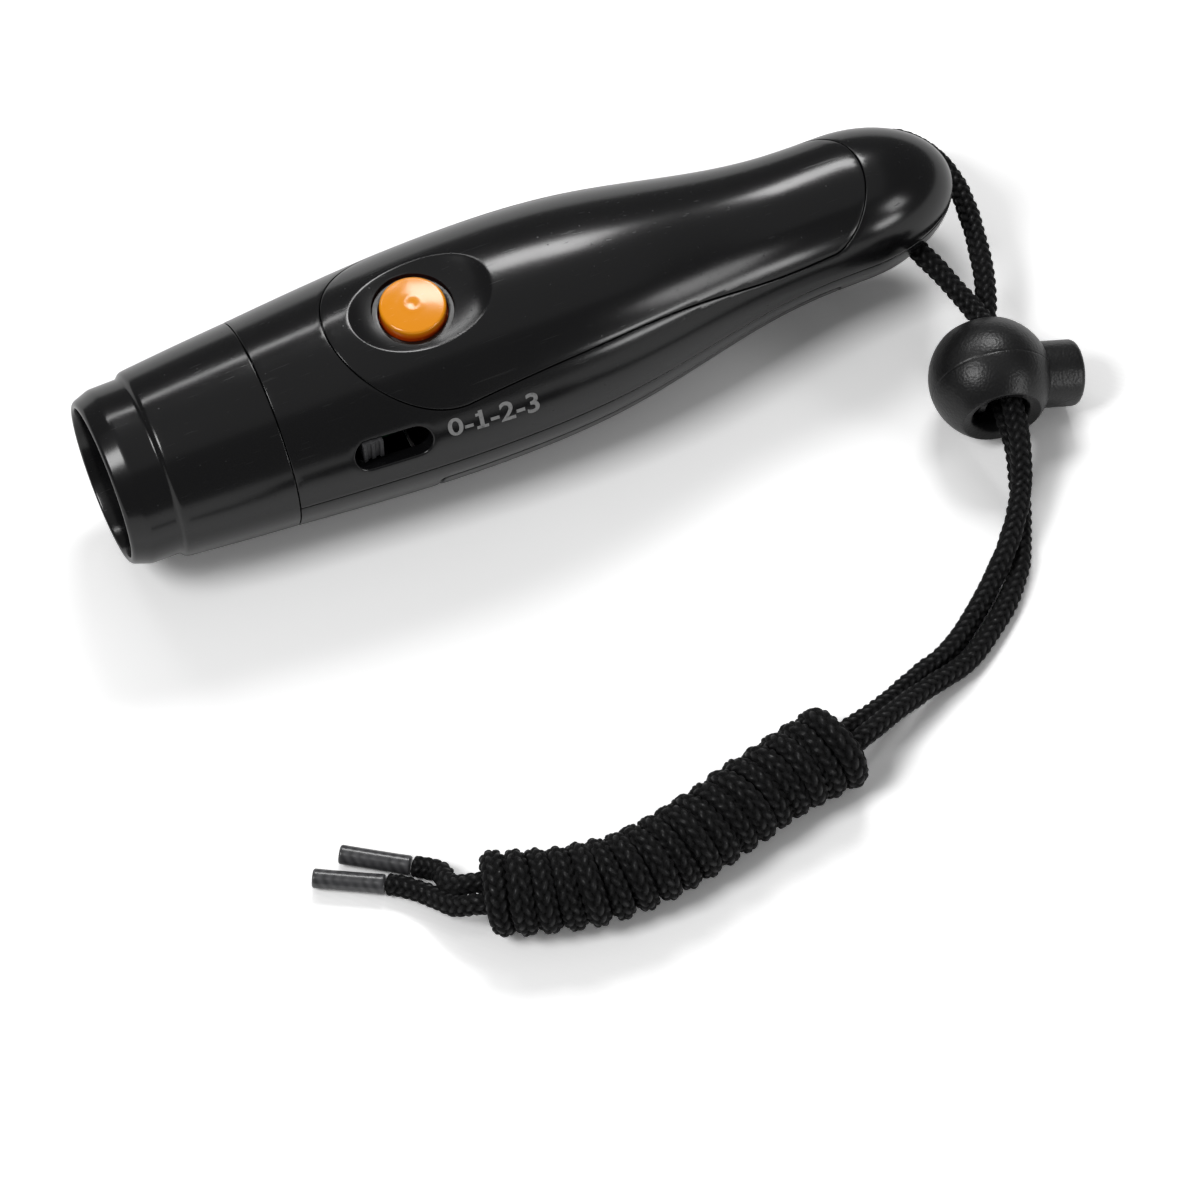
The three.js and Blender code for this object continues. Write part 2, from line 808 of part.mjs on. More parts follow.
// Hooks at the door's rear edge, that reach in over the housing's wall and let the door swing
function doorHooks() {
  const top = housingForm(wall + fitGap + doorHookThickness);
  const foot = housingForm(wall - 0.3).subtract(top);
  const lip = housingForm(wall + fitGap).subtract(top);
  return [-1, 1].flatMap((side) => {
    const y = [side * doorHookY - doorHookWidth / 2, side * doorHookY + doorHookWidth / 2];
    const footX = [doorRearX - doorGap - 3, doorRearX - doorGap];
    const lipX = [footX[0], doorRearX + doorHookReach];
    return [foot.intersect(box(footX, y, [-beyond, -3])), lip.intersect(box(lipX, y, [-beyond, -3]))];
  });
}

// Door: its piece of the wall, snap tabs inside the side walls, and ribs under the cells
function makeBatteryDoor() {
  const skin = doorSector(-doorGap, -doorFrontGap).intersect(whole.subtract(cavity));
  const edge = Math.sin(THREE.MathUtils.degToRad(doorEdgeAngle));
  const tabs = doorTabXs.flatMap((x) =>
    [-1, 1].map((side) => {
      const middle = x + doorTabLength / 2;
      const outer = (radiusAt(middle) - wall) * Math.cos(Math.asin(edge)) - 2 * fitGap;
      const inner = outer - doorTabThickness;
      const topZ = -radiusAt(middle) * edge + doorTabHeight;
      const [y0, y1] = side > 0 ? [inner, outer] : [-outer, -inner];
      return box([x, x + doorTabLength], [y0, y1], [topZ - 2 * doorTabHeight - 2, topZ]);
    }),
  );
  const ribTopZ = cellZ - cellRadius - fitGap;
  const ribs = [-1, 1].map((side) => {
    const y = (side * cellPitch) / 2;
    const half = doorRibThickness / 2;
    return box([doorRibStartX, doorRibStartX + doorRibLength], [y - half, y + half], [-beyond, ribTopZ]);
  });
  const inside = housingForm(wall - 0.3);
  const fitted = joined(...tabs, ...ribs).intersect(inside);
  return joined(skin, fitted, ...doorHooks());
}

// Self-tapping screw upward from a seat, with its head below and a cross drive
function screw(x, y, seatZ, topZ) {
  const head = rodZ(x, y, seatZ - fitGap - screwHeadHeight, seatZ - fitGap, screwHeadRadius, 14);
  const shank = rodZ(x, y, seatZ - fitGap - 0.1, topZ, screwRadius, 8);
  const driveZ = [seatZ - fitGap - screwHeadHeight - 1, seatZ - fitGap - screwHeadHeight + driveDepth];
  const arm = screwHeadRadius * 0.6;
  const half = driveWidth / 2;
  const cross = box([x - arm, x + arm], [y - half, y + half], driveZ).add(
    box([x - half, x + half], [y - arm, y + arm], driveZ),
  );
  return head.add(shank).subtract(cross);
}

function makeCircuitBoard() {
  const shape = new THREE.Shape();
  shape.moveTo(boardFrontX, -boardHalfWidth);
  shape.lineTo(boardShoulderX, -boardHalfWidth);
  shape.lineTo(boardRearX, -boardRearHalfWidth);
  shape.lineTo(boardRearX, boardRearHalfWidth);
  shape.lineTo(boardShoulderX, boardHalfWidth);
  shape.lineTo(boardFrontX, boardHalfWidth);
  const holes = boardScrews.map(([, x, y]) => screwHole(x, y, boardZ - 1, boardTopZ + 1));
  return without(plate(shape, boardZ, boardTopZ), ...holes);
}

// Button: domed cap with a captive flange and a stem down to the switch
function makeButtonCap() {
  const capTop = buttonTopZ - buttonCrown;
  const profile = [[pushPlungerTopZ + fitGap, 0]];
  profile.push([pushPlungerTopZ + fitGap, buttonStemRadius]);
  profile.push([flangeBottomZ, buttonStemRadius]);
  profile.push([flangeBottomZ, buttonFlangeRadius]);
  profile.push([flangeTopZ, buttonFlangeRadius]);
  profile.push([flangeTopZ, buttonRadius]);
  const roundSteps = 3;
  for (let i = 0; i <= roundSteps; i++) {
    const turn = ((i / roundSteps) * Math.PI) / 2;
    const r = buttonRadius - buttonEdgeRound * (1 - Math.cos(turn));
    profile.push([capTop - buttonEdgeRound * (1 - Math.sin(turn)), r]);
  }
  const domeSteps = 3;
  const domeRadius = buttonRadius - buttonEdgeRound;
  for (let i = 1; i <= domeSteps; i++) {
    const share = 1 - i / domeSteps;
    profile.push([capTop + buttonCrown * (1 - share * share), domeRadius * share]);
  }
  const standing = new THREE.LatheGeometry(
    profile.map(([z, r]) => new THREE.Vector2(r, z)),
    20,
  );
  return solidOf(standing.rotateX(Math.PI / 2).translate(buttonX, 0, 0));
}

function makePushSwitchBody() {
  const half = pushSwitchSide / 2;
  const body = box([buttonX - half, buttonX + half], [-half, half], [partZ, pushSwitchTopZ]);
  const well = pushPlungerRadius + fitGap;
  return body.subtract(rodZ(buttonX, 0, partZ + 0.6, pushSwitchTopZ + 1, well, 16));
}

function makePushSwitchPlunger() {
  const bottomZ = partZ + 0.6 + fitGap + buttonTravel;
  return rodZ(buttonX, 0, bottomZ, pushPlungerTopZ, pushPlungerRadius, 16);
}

// Mode switch: a folded metal frame with a window, the slider in it and the ribbed knob
const knobMiddleRange = [knobX, knobX + modeTravel];
const frameInner = {
  x: [knobX - sliderLength / 2 - fitGap, knobX + modeTravel + sliderLength / 2 + fitGap],
  y: [switchOuterY + switchWall, switchOuterY + switchDepth - switchWall],
  z: [slotZ - switchHeight / 2 + switchWall, slotZ + switchHeight / 2 - switchWall],
};

function makeSwitchFrame() {
  const outer = Object.values(frameInner).map(([low, high]) => [low - switchWall, high + switchWall]);
  const windowX = [
    knobMiddleRange[0] - sliderStemWidth / 2 - fitGap,
    knobMiddleRange[1] + sliderStemWidth / 2 + fitGap,
  ];
  const windowHalf = sliderStemHeight / 2 + fitGap;
  const windowZ = [slotZ - windowHalf, slotZ + windowHalf];
  const windowCut = box(windowX, [switchOuterY - 1, switchOuterY + 1], windowZ);
  return without(box(...outer), box(frameInner.x, frameInner.y, frameInner.z), windowCut);
}

function makeSwitchSlider() {
  const half = sliderLength / 2;
  const block = box(
    [knobX - half, knobX + half],
    [frameInner.y[0] + fitGap, frameInner.y[1] - fitGap],
    [frameInner.z[0] + fitGap, frameInner.z[1] - fitGap],
  );
  const stem = box(
    [knobX - sliderStemWidth / 2, knobX + sliderStemWidth / 2],
    [knobOuterY + knobCap, frameInner.y[0] + fitGap + 0.2],
    [slotZ - sliderStemHeight / 2, slotZ + sliderStemHeight / 2],
  );
  return block.add(stem);
}

function makeModeKnob() {
  const half = knobWidth / 2;
  const socketHalf = sliderStemWidth / 2 + fitGap;
  const socketRise = sliderStemHeight / 2 + fitGap;
  const shape = new THREE.Shape();
  const corner = knobCorner;
  const low = slotZ - knobHeight / 2;
  const high = slotZ + knobHeight / 2;
  shape.moveTo(knobX - half + corner, low);
  shape.lineTo(knobX + half - corner, low);
  shape.lineTo(knobX + half, low + corner);
  shape.lineTo(knobX + half, high - corner);
  shape.lineTo(knobX + half - corner, high);
  shape.lineTo(knobX - half + corner, high);
  shape.lineTo(knobX - half, high - corner);
  shape.lineTo(knobX - half, low + corner);
  const body = sideCut(shape, knobOuterY, knobInnerY);
  const socket = box(
    [knobX - socketHalf, knobX + socketHalf],
    [knobOuterY + knobCap - fitGap, knobInnerY + 1],
    [slotZ - socketRise, slotZ + socketRise],
  );
  const grooves = [-0.3, 0.3].map((share) => {
    const x = knobX + share * knobWidth;
    const width = knobGrooveWidth / 2;
    const y = [knobOuterY - 1, knobOuterY + knobGrooveDepth];
    return box([x - width, x + width], y, [low - 1, high + 1]);
  });
  return without(body, socket, ...grooves);
}

// Parts on the board
function makeSoundChip() {
  const half = chipWidth / 2;
  const frontX = chipX - chipLength / 2;
  const topZ = partZ + chipHeight;
  const block = box([frontX, frontX + chipLength], [chipY - half, chipY + half], [partZ + 0.7, topZ]);
  const leads = [-1.5, -0.5, 0.5, 1.5].flatMap((place) => {
    const x = chipX + place * chipLeadPitch;
    return [chipY - half, chipY + half].map((edge) =>
      box([x - 0.5, x + 0.5], [edge - 0.6, edge + 0.6], [partZ, partZ + 1.6]),
    );
  });
  const dimple = rodZ(frontX + 1.2, chipY, topZ - 0.3, topZ + 1, 0.6, 10);
  return joined(block, ...leads).subtract(dimple);
}

function makeTransistor() {
  const topZ = partZ + transistorHeight;
  const round = rodZ(transistorX, transistorY, partZ, topZ, transistorRadius, 18);
  const flatY = [transistorY - 2 * transistorRadius, transistorY - 1.2];
  const flatX = [transistorX - 2 * transistorRadius, transistorX + 2 * transistorRadius];
  return round.subtract(box(flatX, flatY, [partZ - 1, topZ + 1]));
}

function makeBoostCoil() {
  const profile = [
    [0, 0],
    [0, coilRadius],
    [1, coilRadius],
    [1, coilRadius * 0.8],
    [coilHeight - 1, coilRadius * 0.8],
    [coilHeight - 1, coilRadius],
    [coilHeight, coilRadius],
    [coilHeight, 0],
  ];
  const drum = new THREE.LatheGeometry(
    profile.map(([z, r]) => new THREE.Vector2(r, z)),
    20,
  );
  return solidOf(drum.rotateX(Math.PI / 2).translate(coilX, coilY, partZ));
}

function makeCapacitor() {
  const topZ = partZ + capacitorHeight;
  const can = rodZ(capacitorX, capacitorY, partZ, topZ, capacitorRadius, 20);
  const slitX = [capacitorX - 2, capacitorX + 2];
  const slitY = [capacitorY - 0.2, capacitorY + 0.2];
  return can.subtract(box(slitX, slitY, [topZ - 0.3, topZ + 1]));
}

// Resistor: two end beads on a thinner barrel
function makeResistor(x) {
  const z = partZ + resistorRadius;
  const y0 = resistorY - resistorLength / 2;
  const y1 = resistorY + resistorLength / 2;
  const barrel = rodY(x, y0 + 0.5, y1 - 0.5, z, resistorRadius * 0.85, 12);
  return joined(
    barrel,
    rodY(x, y0, y0 + resistorBeadLength, z, resistorRadius, 12),
    rodY(x, y1 - resistorBeadLength, y1, z, resistorRadius, 12),
  );
}

// Cell with its nub at the end that faces along +X or -X
function makeCell(y, startX, nubAtRear) {
  const bodyEnd = cellLength - nubLength;
  const profile = [
    [0, 0],
    [0, cellRadius - 0.4],
    [0.4, cellRadius],
    [bodyEnd - 0.4, cellRadius],
    [bodyEnd, cellRadius - 0.4],
    [bodyEnd, nubRadius],
    [cellLength, nubRadius],
    [cellLength, 0],
  ];
  const laid = nubAtRear ? profile : profile.map(([x, r]) => [cellLength - x, r]).reverse();
  return turned(laid, 16).translate([startX, y, cellZ]);
}

// Cradle: a roof over the cells with an end wall at each contact, shaped to the housing
function makeCradle() {
  const frontX = bayFrontX - contactThickness - fitGap - cradleThickness;
  const rearX = bayRearX + contactThickness + fitGap;
  const roofZ = [cellZ + cellRadius + fitGap, cellZ + cellRadius + fitGap + cradleThickness];
  const roof = box([frontX, rearX + cradleThickness], [-beyond, beyond], roofZ);
  const walls = [frontX, rearX].map((x) =>
    box([x, x + cradleThickness], [-beyond, beyond], [cradleFloorZ, roofZ[1]]),
  );
  const divider = box([bayFrontX + 5, bayRearX - 5], [-0.4, 0.4], [cellZ + 2.9, roofZ[0] + 0.2]);
  const doorClear = box([0, bodyLength], [-beyond, beyond], [-beyond, cradleFloorZ]);
  return joined(roof, ...walls, divider).intersect(room).subtract(doorClear);
}

function contactPlate(x, y, width) {
  const half = width / 2;
  const z = [cellZ - contactHeight / 2, cellZ + contactHeight / 2];
  return box([x, x + contactThickness], [y - half, y + half], z);
}

function contactSpring(x0, x1, y) {
  const upright = coil(0, 0, x0, x1, contactSpringRadius, contactSpringWire / 2, contactSpringTurns);
  return upright.rotate([0, 90, 0]).translate([0, y, cellZ]);
}

// Even-sided section of a cord or a wire, drawn out along its way
function cordSolid(curve, radius, sides, steps) {
  const corners = [];
  for (let i = 0; i < sides; i++) {
    const angle = (i / sides) * 2 * Math.PI;
    corners.push(new THREE.Vector2(radius * Math.cos(angle), radius * Math.sin(angle)));
  }
  const options = { steps, extrudePath: curve, bevelEnabled: false };
  return solidOf(new THREE.ExtrudeGeometry(new THREE.Shape(corners), options));
}

function wire(points) {
  const route = new THREE.CatmullRomCurve3(points.map((p) => new THREE.Vector3(...p)));
  return cordSolid(route, wireRadius, wireSides, wireSteps);
}

add("horn", makeHorn(), "glossBlack");
add("horn_grille", makeGrille(), "innerBlack");
add("transducer_diaphragm", makeDiaphragm(), "paperCone");
add("transducer_case", makeDriverCase(), "steel");
add("transducer_magnet", makeMagnet(), "ferrite");
add("transducer_ring", makeDriverRing(), "innerBlack");
add("upper_housing", makeUpperHousing(), "glossBlack");
add("lower_housing", makeLowerHousing(), "glossBlack");
add("top_panel", makeTopPanel(), "glossBlack");
add("battery_door", makeBatteryDoor(), "glossBlack");
housingScrews.forEach(([place, x, y, seatZ]) => {
  add(`housing_screw_${place}`, screw(x, y, seatZ, housingScrewReach), "steel");
});
boardScrews.forEach(([place, x, y]) => {
  add(`board_screw_${place}`, screw(x, y, boardZ, boardTopZ + boardScrewReach - 0.3), "steel");
});
add("circuit_board", makeCircuitBoard(), "boardGreen");
add("push_switch_body", makePushSwitchBody(), "resin");
add("push_switch_plunger", makePushSwitchPlunger(), "satinBlack");
add("button_cap", makeButtonCap(), "orange");
const springWireR = buttonSpringWire / 2;
const buttonSpringZ = [pushSwitchTopZ + fitGap, flangeBottomZ - fitGap];
const buttonSpring = coil(
  buttonX,
  0,
  ...buttonSpringZ,
  buttonSpringRadius,
  springWireR,
  buttonSpringTurns,
);
add("button_return_spring", buttonSpring, "steel");
add("slide_switch_frame", makeSwitchFrame(), "satinBlack");
add("slide_switch_slider", makeSwitchSlider(), "resin");
add("mode_knob", makeModeKnob(), "satinBlack");
add("sound_chip", makeSoundChip(), "resin");
add("transistor", makeTransistor(), "resin");
add("boost_coil", makeBoostCoil(), "copper");
add("capacitor", makeCapacitor(), "cellJacket");
resistorX.forEach((x, i) => add(`resistor_${i + 1}`, makeResistor(x), "tan"));
add("battery_cradle", makeCradle(), "innerBlack");
const cellY = cellPitch / 2;
add("battery_1", makeCell(-cellY, bayRearX - fitGap - cellLength, true), "cellJacket");
add("battery_2", makeCell(cellY, bayFrontX + fitGap, false), "cellJacket");
const bridgeWidth = cellPitch + contactWidth;
add("battery_bridge", contactPlate(bayFrontX - contactThickness, 0, bridgeWidth), "nickel");
add("positive_contact", contactPlate(bayRearX, -cellY, contactWidth), "nickel");
add("negative_contact", contactPlate(bayRearX, cellY, contactWidth), "nickel");
const bridgeSpringX = [bayFrontX + fitGap, bayFrontX + contactSpringRoom - 2 * fitGap];
const negativeSpringX = [bayRearX - contactSpringRoom + 2 * fitGap, bayRearX - fitGap];
add("bridge_spring", contactSpring(...bridgeSpringX, -cellY), "nickel");
add("negative_spring", contactSpring(...negativeSpringX, cellY), "nickel");

// Wires: from the driver's back to the board, and from the contacts up to the board
const terminalY = 1.3;
const terminalZ = (magnetRadius + ringInnerRadius) / 2 - 0.1;
[["red", -1], ["black", 1]].forEach(([colour, side]) => {
  const y = side * terminalY;
  const speakerWay = [
    [driverEndX + fitGap, y, terminalZ],
    [driverEndX + 4, y, terminalZ - 0.2],
    [driverEndX + 7.5, y, terminalZ - 2.2],
    [boardFrontX - fitGap, y, boardZ + boardThickness / 2],
  ];
  add(`speaker_wire_${colour}`, wire(speakerWay), `${colour}Wire`);
  const contactX = bayRearX + contactThickness + fitGap + cradleThickness + fitGap;
  const batteryWay = [
    [contactX + wireRadius, side * -cellY, cellZ - 2],
    [contactX + wireRadius, side * -cellY, cellZ + 1.5],
    [contactX + wireRadius + 0.3, side * -cellY * 0.9, cellZ + 4.5],
    [contactX + wireRadius + 0.8, side * -cellY * 0.8, boardZ - fitGap],
  ];
  add(`battery_wire_${colour}`, wire(batteryWay), `${colour}Wire`);
});

// Lanyard: two strands of one cord, side by side from the lock to the knot
const floor = new THREE.Group();
floor.position.set(-bodyLength / 2, 0, 0);
part.add(floor);

function pairPoint(index, side) {
  const [x, y, z, turnDegrees] = pairRoute[index];
  const before = pairRoute[Math.max(index - 1, 0)];
  const after = pairRoute[Math.min(index + 1, pairRoute.length - 1)];
  const way = new THREE.Vector3(after[0] - before[0], after[1] - before[1], 0).normalize();
  const turn = THREE.MathUtils.degToRad(turnDegrees);
  const reach = (side * pairSpacing) / 2;
  return [
    x + reach * Math.cos(turn) * way.y,
    y - reach * Math.cos(turn) * way.x,
    z + reach * Math.sin(turn),
  ];
}

function strandCurve(start, end, side) {
  const middle = pairRoute.map((_, i) => pairPoint(i, side));
  const points = [...start, ...middle, ...end].map((p) => new THREE.Vector3(...p));
  return new THREE.CatmullRomCurve3(points, false, "centripetal");
}

function agletSolid(curve) {
  const way = curve.getTangentAt(1);
  const profile = [
    [0, 0],
    [0, agletRadius],
    [agletLength - 0.4, agletRadius],
    [agletLength, agletRadius - 0.4],
    [agletLength, 0],
  ];
  const geometry = new THREE.LatheGeometry(
    profile.map(([along, r]) => new THREE.Vector2(r, along)),
    16,
  );
  const turn = new THREE.Quaternion().setFromUnitVectors(new THREE.Vector3(0, 1, 0), way);
  geometry.applyQuaternion(turn);
  const start = curve.getPointAt(1).addScaledVector(way, fitGap);
  return solidOf(geometry.translate(start.x, start.y, start.z));
}

const strands = {
  near: strandCurve(nearStart, nearEnd, 1),
  far: strandCurve(farStart, farEnd, -1),
};
for (const [place, curve] of Object.entries(strands)) {
  const strand = cordSolid(curve, strandRadius, strandSides, strandSteps);
  add(`lanyard_strand_${place}`, strand, "cord", floor);
  add(`aglet_${place}`, agletSolid(curve), "clearDark", floor);
  console.log(`lanyard_strand_${place} is ${curve.getLength().toFixed(1)} mm long`);
}

// Knot: one unbroken tube wound round the two strands, its ends straight for a diameter
const knotCore = new THREE.CatmullRomCurve3(
  pairRoute.slice(13).map(([x, y, z]) => new THREE.Vector3(x, y, z)),
  false,
  "centripetal",
);

function knotMiddles() {
  const coreLength = knotCore.getLength();
  const woundLength = knotLoops * knotPitch;
  const startAlong = coreLength - woundLength - 1.6;
  const steps = knotLoops * knotStepsPerLoop;
  const middles = [];
  for (let i = 0; i <= steps; i++) {
    const along = (startAlong + (woundLength * i) / steps) / coreLength;
    const middle = knotCore.getPointAt(along);
    const way = knotCore.getTangentAt(along);
    const level = new THREE.Vector3(way.y, -way.x, 0).normalize();
    const over = new THREE.Vector3().crossVectors(level, way).normalize();
    const turn = (i / knotStepsPerLoop) * 2 * Math.PI;
    middle.addScaledVector(level, knotCoilRadius * Math.cos(turn));
    middle.addScaledVector(over, -knotCoilRadius * Math.sin(turn));
    middles.push(middle);
  }
  const lead = (end, next) => end.clone().add(end.clone().sub(next).setLength(2 * knotTubeRadius));
  middles.unshift(lead(middles[0], middles[1]));
  middles.push(lead(middles.at(-1), middles.at(-2)));
  return middles;
}

function leastGap(middles) {
  let least = Infinity;
  const apart = Math.round(knotStepsPerLoop * 0.6);
  for (let i = 0; i < middles.length; i++) {
    for (let k = i + apart; k < middles.length; k++) {
      least = Math.min(least, middles[i].distanceTo(middles[k]));
    }
  }
  return least - 2 * knotTubeRadius;
}

const woundTube = knotMiddles();
console.log(`lanyard_wrap's least gap to itself is ${leastGap(woundTube).toFixed(2)} mm`);
add("lanyard_wrap", solidOf(tubeGeometry(woundTube, knotTubeRadius, knotTubeSides)), "cord", floor);

// Cord lock: a ball with a cord hole, a cross bore, a sprung plunger; X is the plunger, Y the hole
const lock = new THREE.Group();
const dip = THREE.MathUtils.degToRad(lockPlungerDip);
const holeTurn = THREE.MathUtils.degToRad(lockHoleTurn);
const holeWay = new THREE.Vector3(Math.sin(holeTurn), Math.cos(holeTurn), 0);
const plungerWay = new THREE.Vector3(
  holeWay.y * Math.cos(dip),
  -holeWay.x * Math.cos(dip),
  -Math.sin(dip),
);
const lockUp = new THREE.Vector3().crossVectors(plungerWay, holeWay);
lock.matrix.makeBasis(plungerWay, holeWay, lockUp).setPosition(...lockCentre);
lock.matrixAutoUpdate = false;
floor.add(lock);

function makeLockBody() {
  const ball = solidOf(new THREE.SphereGeometry(lockRadius, 18, 10));
  const flats = box([-lockRadius, lockRadius], [-lockFlat, lockFlat], [-lockRadius, lockRadius]);
  const hole = rodY(0, -20, 20, 0, lockHoleRadius, 20);
  const wide = lockHoleRadius + 2 * lockHoleChamfer;
  const flare = new THREE.CylinderGeometry(wide, lockHoleRadius, 2 * lockHoleChamfer, 20);
  const upperFlare = solidOf(flare.clone().translate(0, lockFlat, 0));
  const lowerFlare = solidOf(flare.clone().rotateX(Math.PI).translate(0, -lockFlat, 0));
  const bore = rodX(-lockBoreDepth, 20, 0, 0, lockPlungerRadius + fitGap, 24);
  return without(ball.intersect(flats), hole, upperFlare, lowerFlare, bore);
}

function makeLockPlunger() {
  const round = lockPlungerRound;
  const profile = [
    [-lockPlungerHead, 0],
    [-lockPlungerHead, lockPlungerRadius],
    [lockPlungerEnd - round, lockPlungerRadius],
    [lockPlungerEnd - 0.3 * round, lockPlungerRadius - 0.3 * round],
    [lockPlungerEnd, lockPlungerRadius - round],
    [lockPlungerEnd, 0],
  ];
  return turned(profile, 20).subtract(rodY(lockTravel, -20, 20, 0, lockHoleRadius, 20));
}

function makeLockSpring() {
  const from = fitGap - lockBoreDepth;
  const to = -lockPlungerHead - fitGap;
  const upright = coil(0, 0, from, to, lockSpringRadius, lockSpringWire / 2, lockSpringTurns);
  return upright.rotate([0, 90, 0]);
}

add("cord_lock_body", makeLockBody(), "satinBlack", lock);
add("cord_lock_plunger", makeLockPlunger(), "satinBlack", lock);
add("cord_lock_spring", makeLockSpring(), "steel", lock);

export default part;
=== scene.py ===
import math

import bmesh
import bpy
import numpy as np
from mathutils import Matrix, Vector
from mathutils.geometry import delaunay_2d_cdt


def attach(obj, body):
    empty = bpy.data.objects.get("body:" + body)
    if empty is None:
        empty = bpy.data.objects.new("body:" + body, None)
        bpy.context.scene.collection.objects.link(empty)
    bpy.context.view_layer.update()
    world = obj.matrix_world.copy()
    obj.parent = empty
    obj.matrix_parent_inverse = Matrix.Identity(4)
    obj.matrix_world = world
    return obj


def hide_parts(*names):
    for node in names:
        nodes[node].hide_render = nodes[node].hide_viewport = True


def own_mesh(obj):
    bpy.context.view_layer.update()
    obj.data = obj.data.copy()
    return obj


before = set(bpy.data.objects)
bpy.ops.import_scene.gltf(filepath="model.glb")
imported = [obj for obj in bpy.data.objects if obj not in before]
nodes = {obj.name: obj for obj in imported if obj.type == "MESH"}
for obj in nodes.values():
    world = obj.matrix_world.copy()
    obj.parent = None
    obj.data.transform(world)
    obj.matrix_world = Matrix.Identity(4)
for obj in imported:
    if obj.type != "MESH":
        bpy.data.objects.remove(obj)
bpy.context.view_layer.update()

mm = 0.001
print("frame loaded,", len(nodes), "nodes")

# camera: turned and placed as the photograph was taken
camera = {
    "place": (-0.190460, -0.504782, 0.865346),
    "right": (0.918490, -0.395106, -0.016370),
    "up": (0.349528, 0.791784, 0.500908),
    "back": (-0.184950, -0.465801, 0.865346),
    "lens": 197.756,
    "sensor": 36.0,
    "clip": (0.05, 20.0),
}


def newObject(name, data):
    made = bpy.data.objects.new(name, data)
    bpy.context.scene.collection.objects.link(made)
    return made


def makeCamera():
    data = bpy.data.cameras.new("photoCamera")
    data.lens = camera["lens"]
    data.sensor_width = camera["sensor"]
    data.clip_start, data.clip_end = camera["clip"]
    eye = newObject("photoCamera", data)
    columns = [Vector(camera[key]).normalized() for key in ("right", "up", "back")]
    turn = Matrix(columns).transposed()
    eye.matrix_world = Matrix.Translation(camera["place"]) @ turn.to_4x4()
    bpy.context.scene.camera = eye


makeCamera()
print("camera placed")


# shader maths written as Python; each Signal is one output of a material's tree
class Signal:
    def __init__(self, tree, socket=None):
        self.tree = tree
        self.socket = socket

    def node(self, kind, settings=None, values=None, out=0):
        made = self.tree.nodes.new(kind)
        for name, value in (settings or {}).items():
            if name == "stops":
                ramp = made.color_ramp
                while len(ramp.elements) < len(value):
                    ramp.elements.new(0.5)
                for element, (place, shade) in zip(ramp.elements, value):
                    element.position = place
                    element.color = shade if hasattr(shade, "__len__") else (shade, shade, shade, 1)
            else:
                setattr(made, name, value)
        for name, value in (values or {}).items():
            self.feed(made.inputs[name], value)
        return Signal(self.tree, None if out is None else made.outputs[out])

    def feed(self, target, value):
        if isinstance(value, Signal):
            self.tree.links.new(value.socket, target)
        else:
            target.default_value = value

    def part(self, axis):
        return self.node("ShaderNodeSeparateXYZ", None, {"Vector": self}, axis)

    def attribute(self, name):
        return self.node("ShaderNodeAttribute", {"attribute_name": name}, None, "Fac")

    def maths(self, operation, first, second=0.0):
        return self.node("ShaderNodeMath", {"operation": operation}, {0: first, 1: second})

    def __add__(self, other):
        return self.maths("ADD", self, other)

    def __sub__(self, other):
        return self.maths("SUBTRACT", self, other)

    def __rsub__(self, other):
        return self.maths("SUBTRACT", other, self)

    def __mul__(self, other):
        return self.maths("MULTIPLY", self, other)

    def __gt__(self, other):
        return self.maths("GREATER_THAN", self, other)

    def ramp(self, *stops):
        return self.node("ShaderNodeValToRGB", {"stops": stops}, {0: self})

    def blend(self, low, high):
        mix = self.tree.nodes.new("ShaderNodeMix")
        mix.data_type = "RGBA"
        for name, value in (("Factor", self), ("A", low), ("B", high)):
            wanted = "VALUE" if name == "Factor" else "RGBA"
            self.feed(next(s for s in mix.inputs if s.name == name and s.type == wanted), value)
        return Signal(self.tree, next(s for s in mix.outputs if s.type == "RGBA"))


def rgb(red, green, blue):
    return (red, green, blue, 1.0)


def emptyMaterial(name):
    made = bpy.data.materials.new(name)
    made.use_nodes = True
    made.node_tree.nodes.clear()
    return made, Signal(made.node_tree).node("ShaderNodeTexCoord", out="Object")


def material(name, paint, **constants):
    made, place = emptyMaterial(name)
    values = {socket.replace("_", " "): value for socket, value in constants.items()}
    shader = place.node("ShaderNodeBsdfPrincipled", None, {**values, **paint(place)})
    place.node("ShaderNodeOutputMaterial", None, {"Surface": shader}, None)
    return made


def noise(place, perMetre, detail=2.0, roughness=0.5):
    values = {"Vector": place, "Scale": perMetre, "Detail": detail, "Roughness": roughness}
    return place.node("ShaderNodeTexNoise", None, values)


def cells(place, perMetre, feature="F1"):
    values = {"Vector": place, "Scale": perMetre}
    return place.node("ShaderNodeTexVoronoi", {"feature": feature}, values, "Distance")


def stretched(place, scale):
    return place.node("ShaderNodeMapping", None, {"Vector": place, "Scale": scale})


def bump(height, depth, strength, **under):
    values = {"Height": height, "Distance": depth, "Strength": strength, **under}
    return height.node("ShaderNodeBump", None, values)


def surface(shade, roughness, relief):
    return {"Base Color": shade, "Roughness": roughness, "Normal": relief}


# moulded, polished shell: faint waves of the mould, hairlines, dust, softer gloss in patches
glossShell = {
    "colour": rgb(0.0050, 0.0050, 0.0055),
    "worn": rgb(0.013, 0.013, 0.014),
    "gloss": (0.14, 0.24),
}


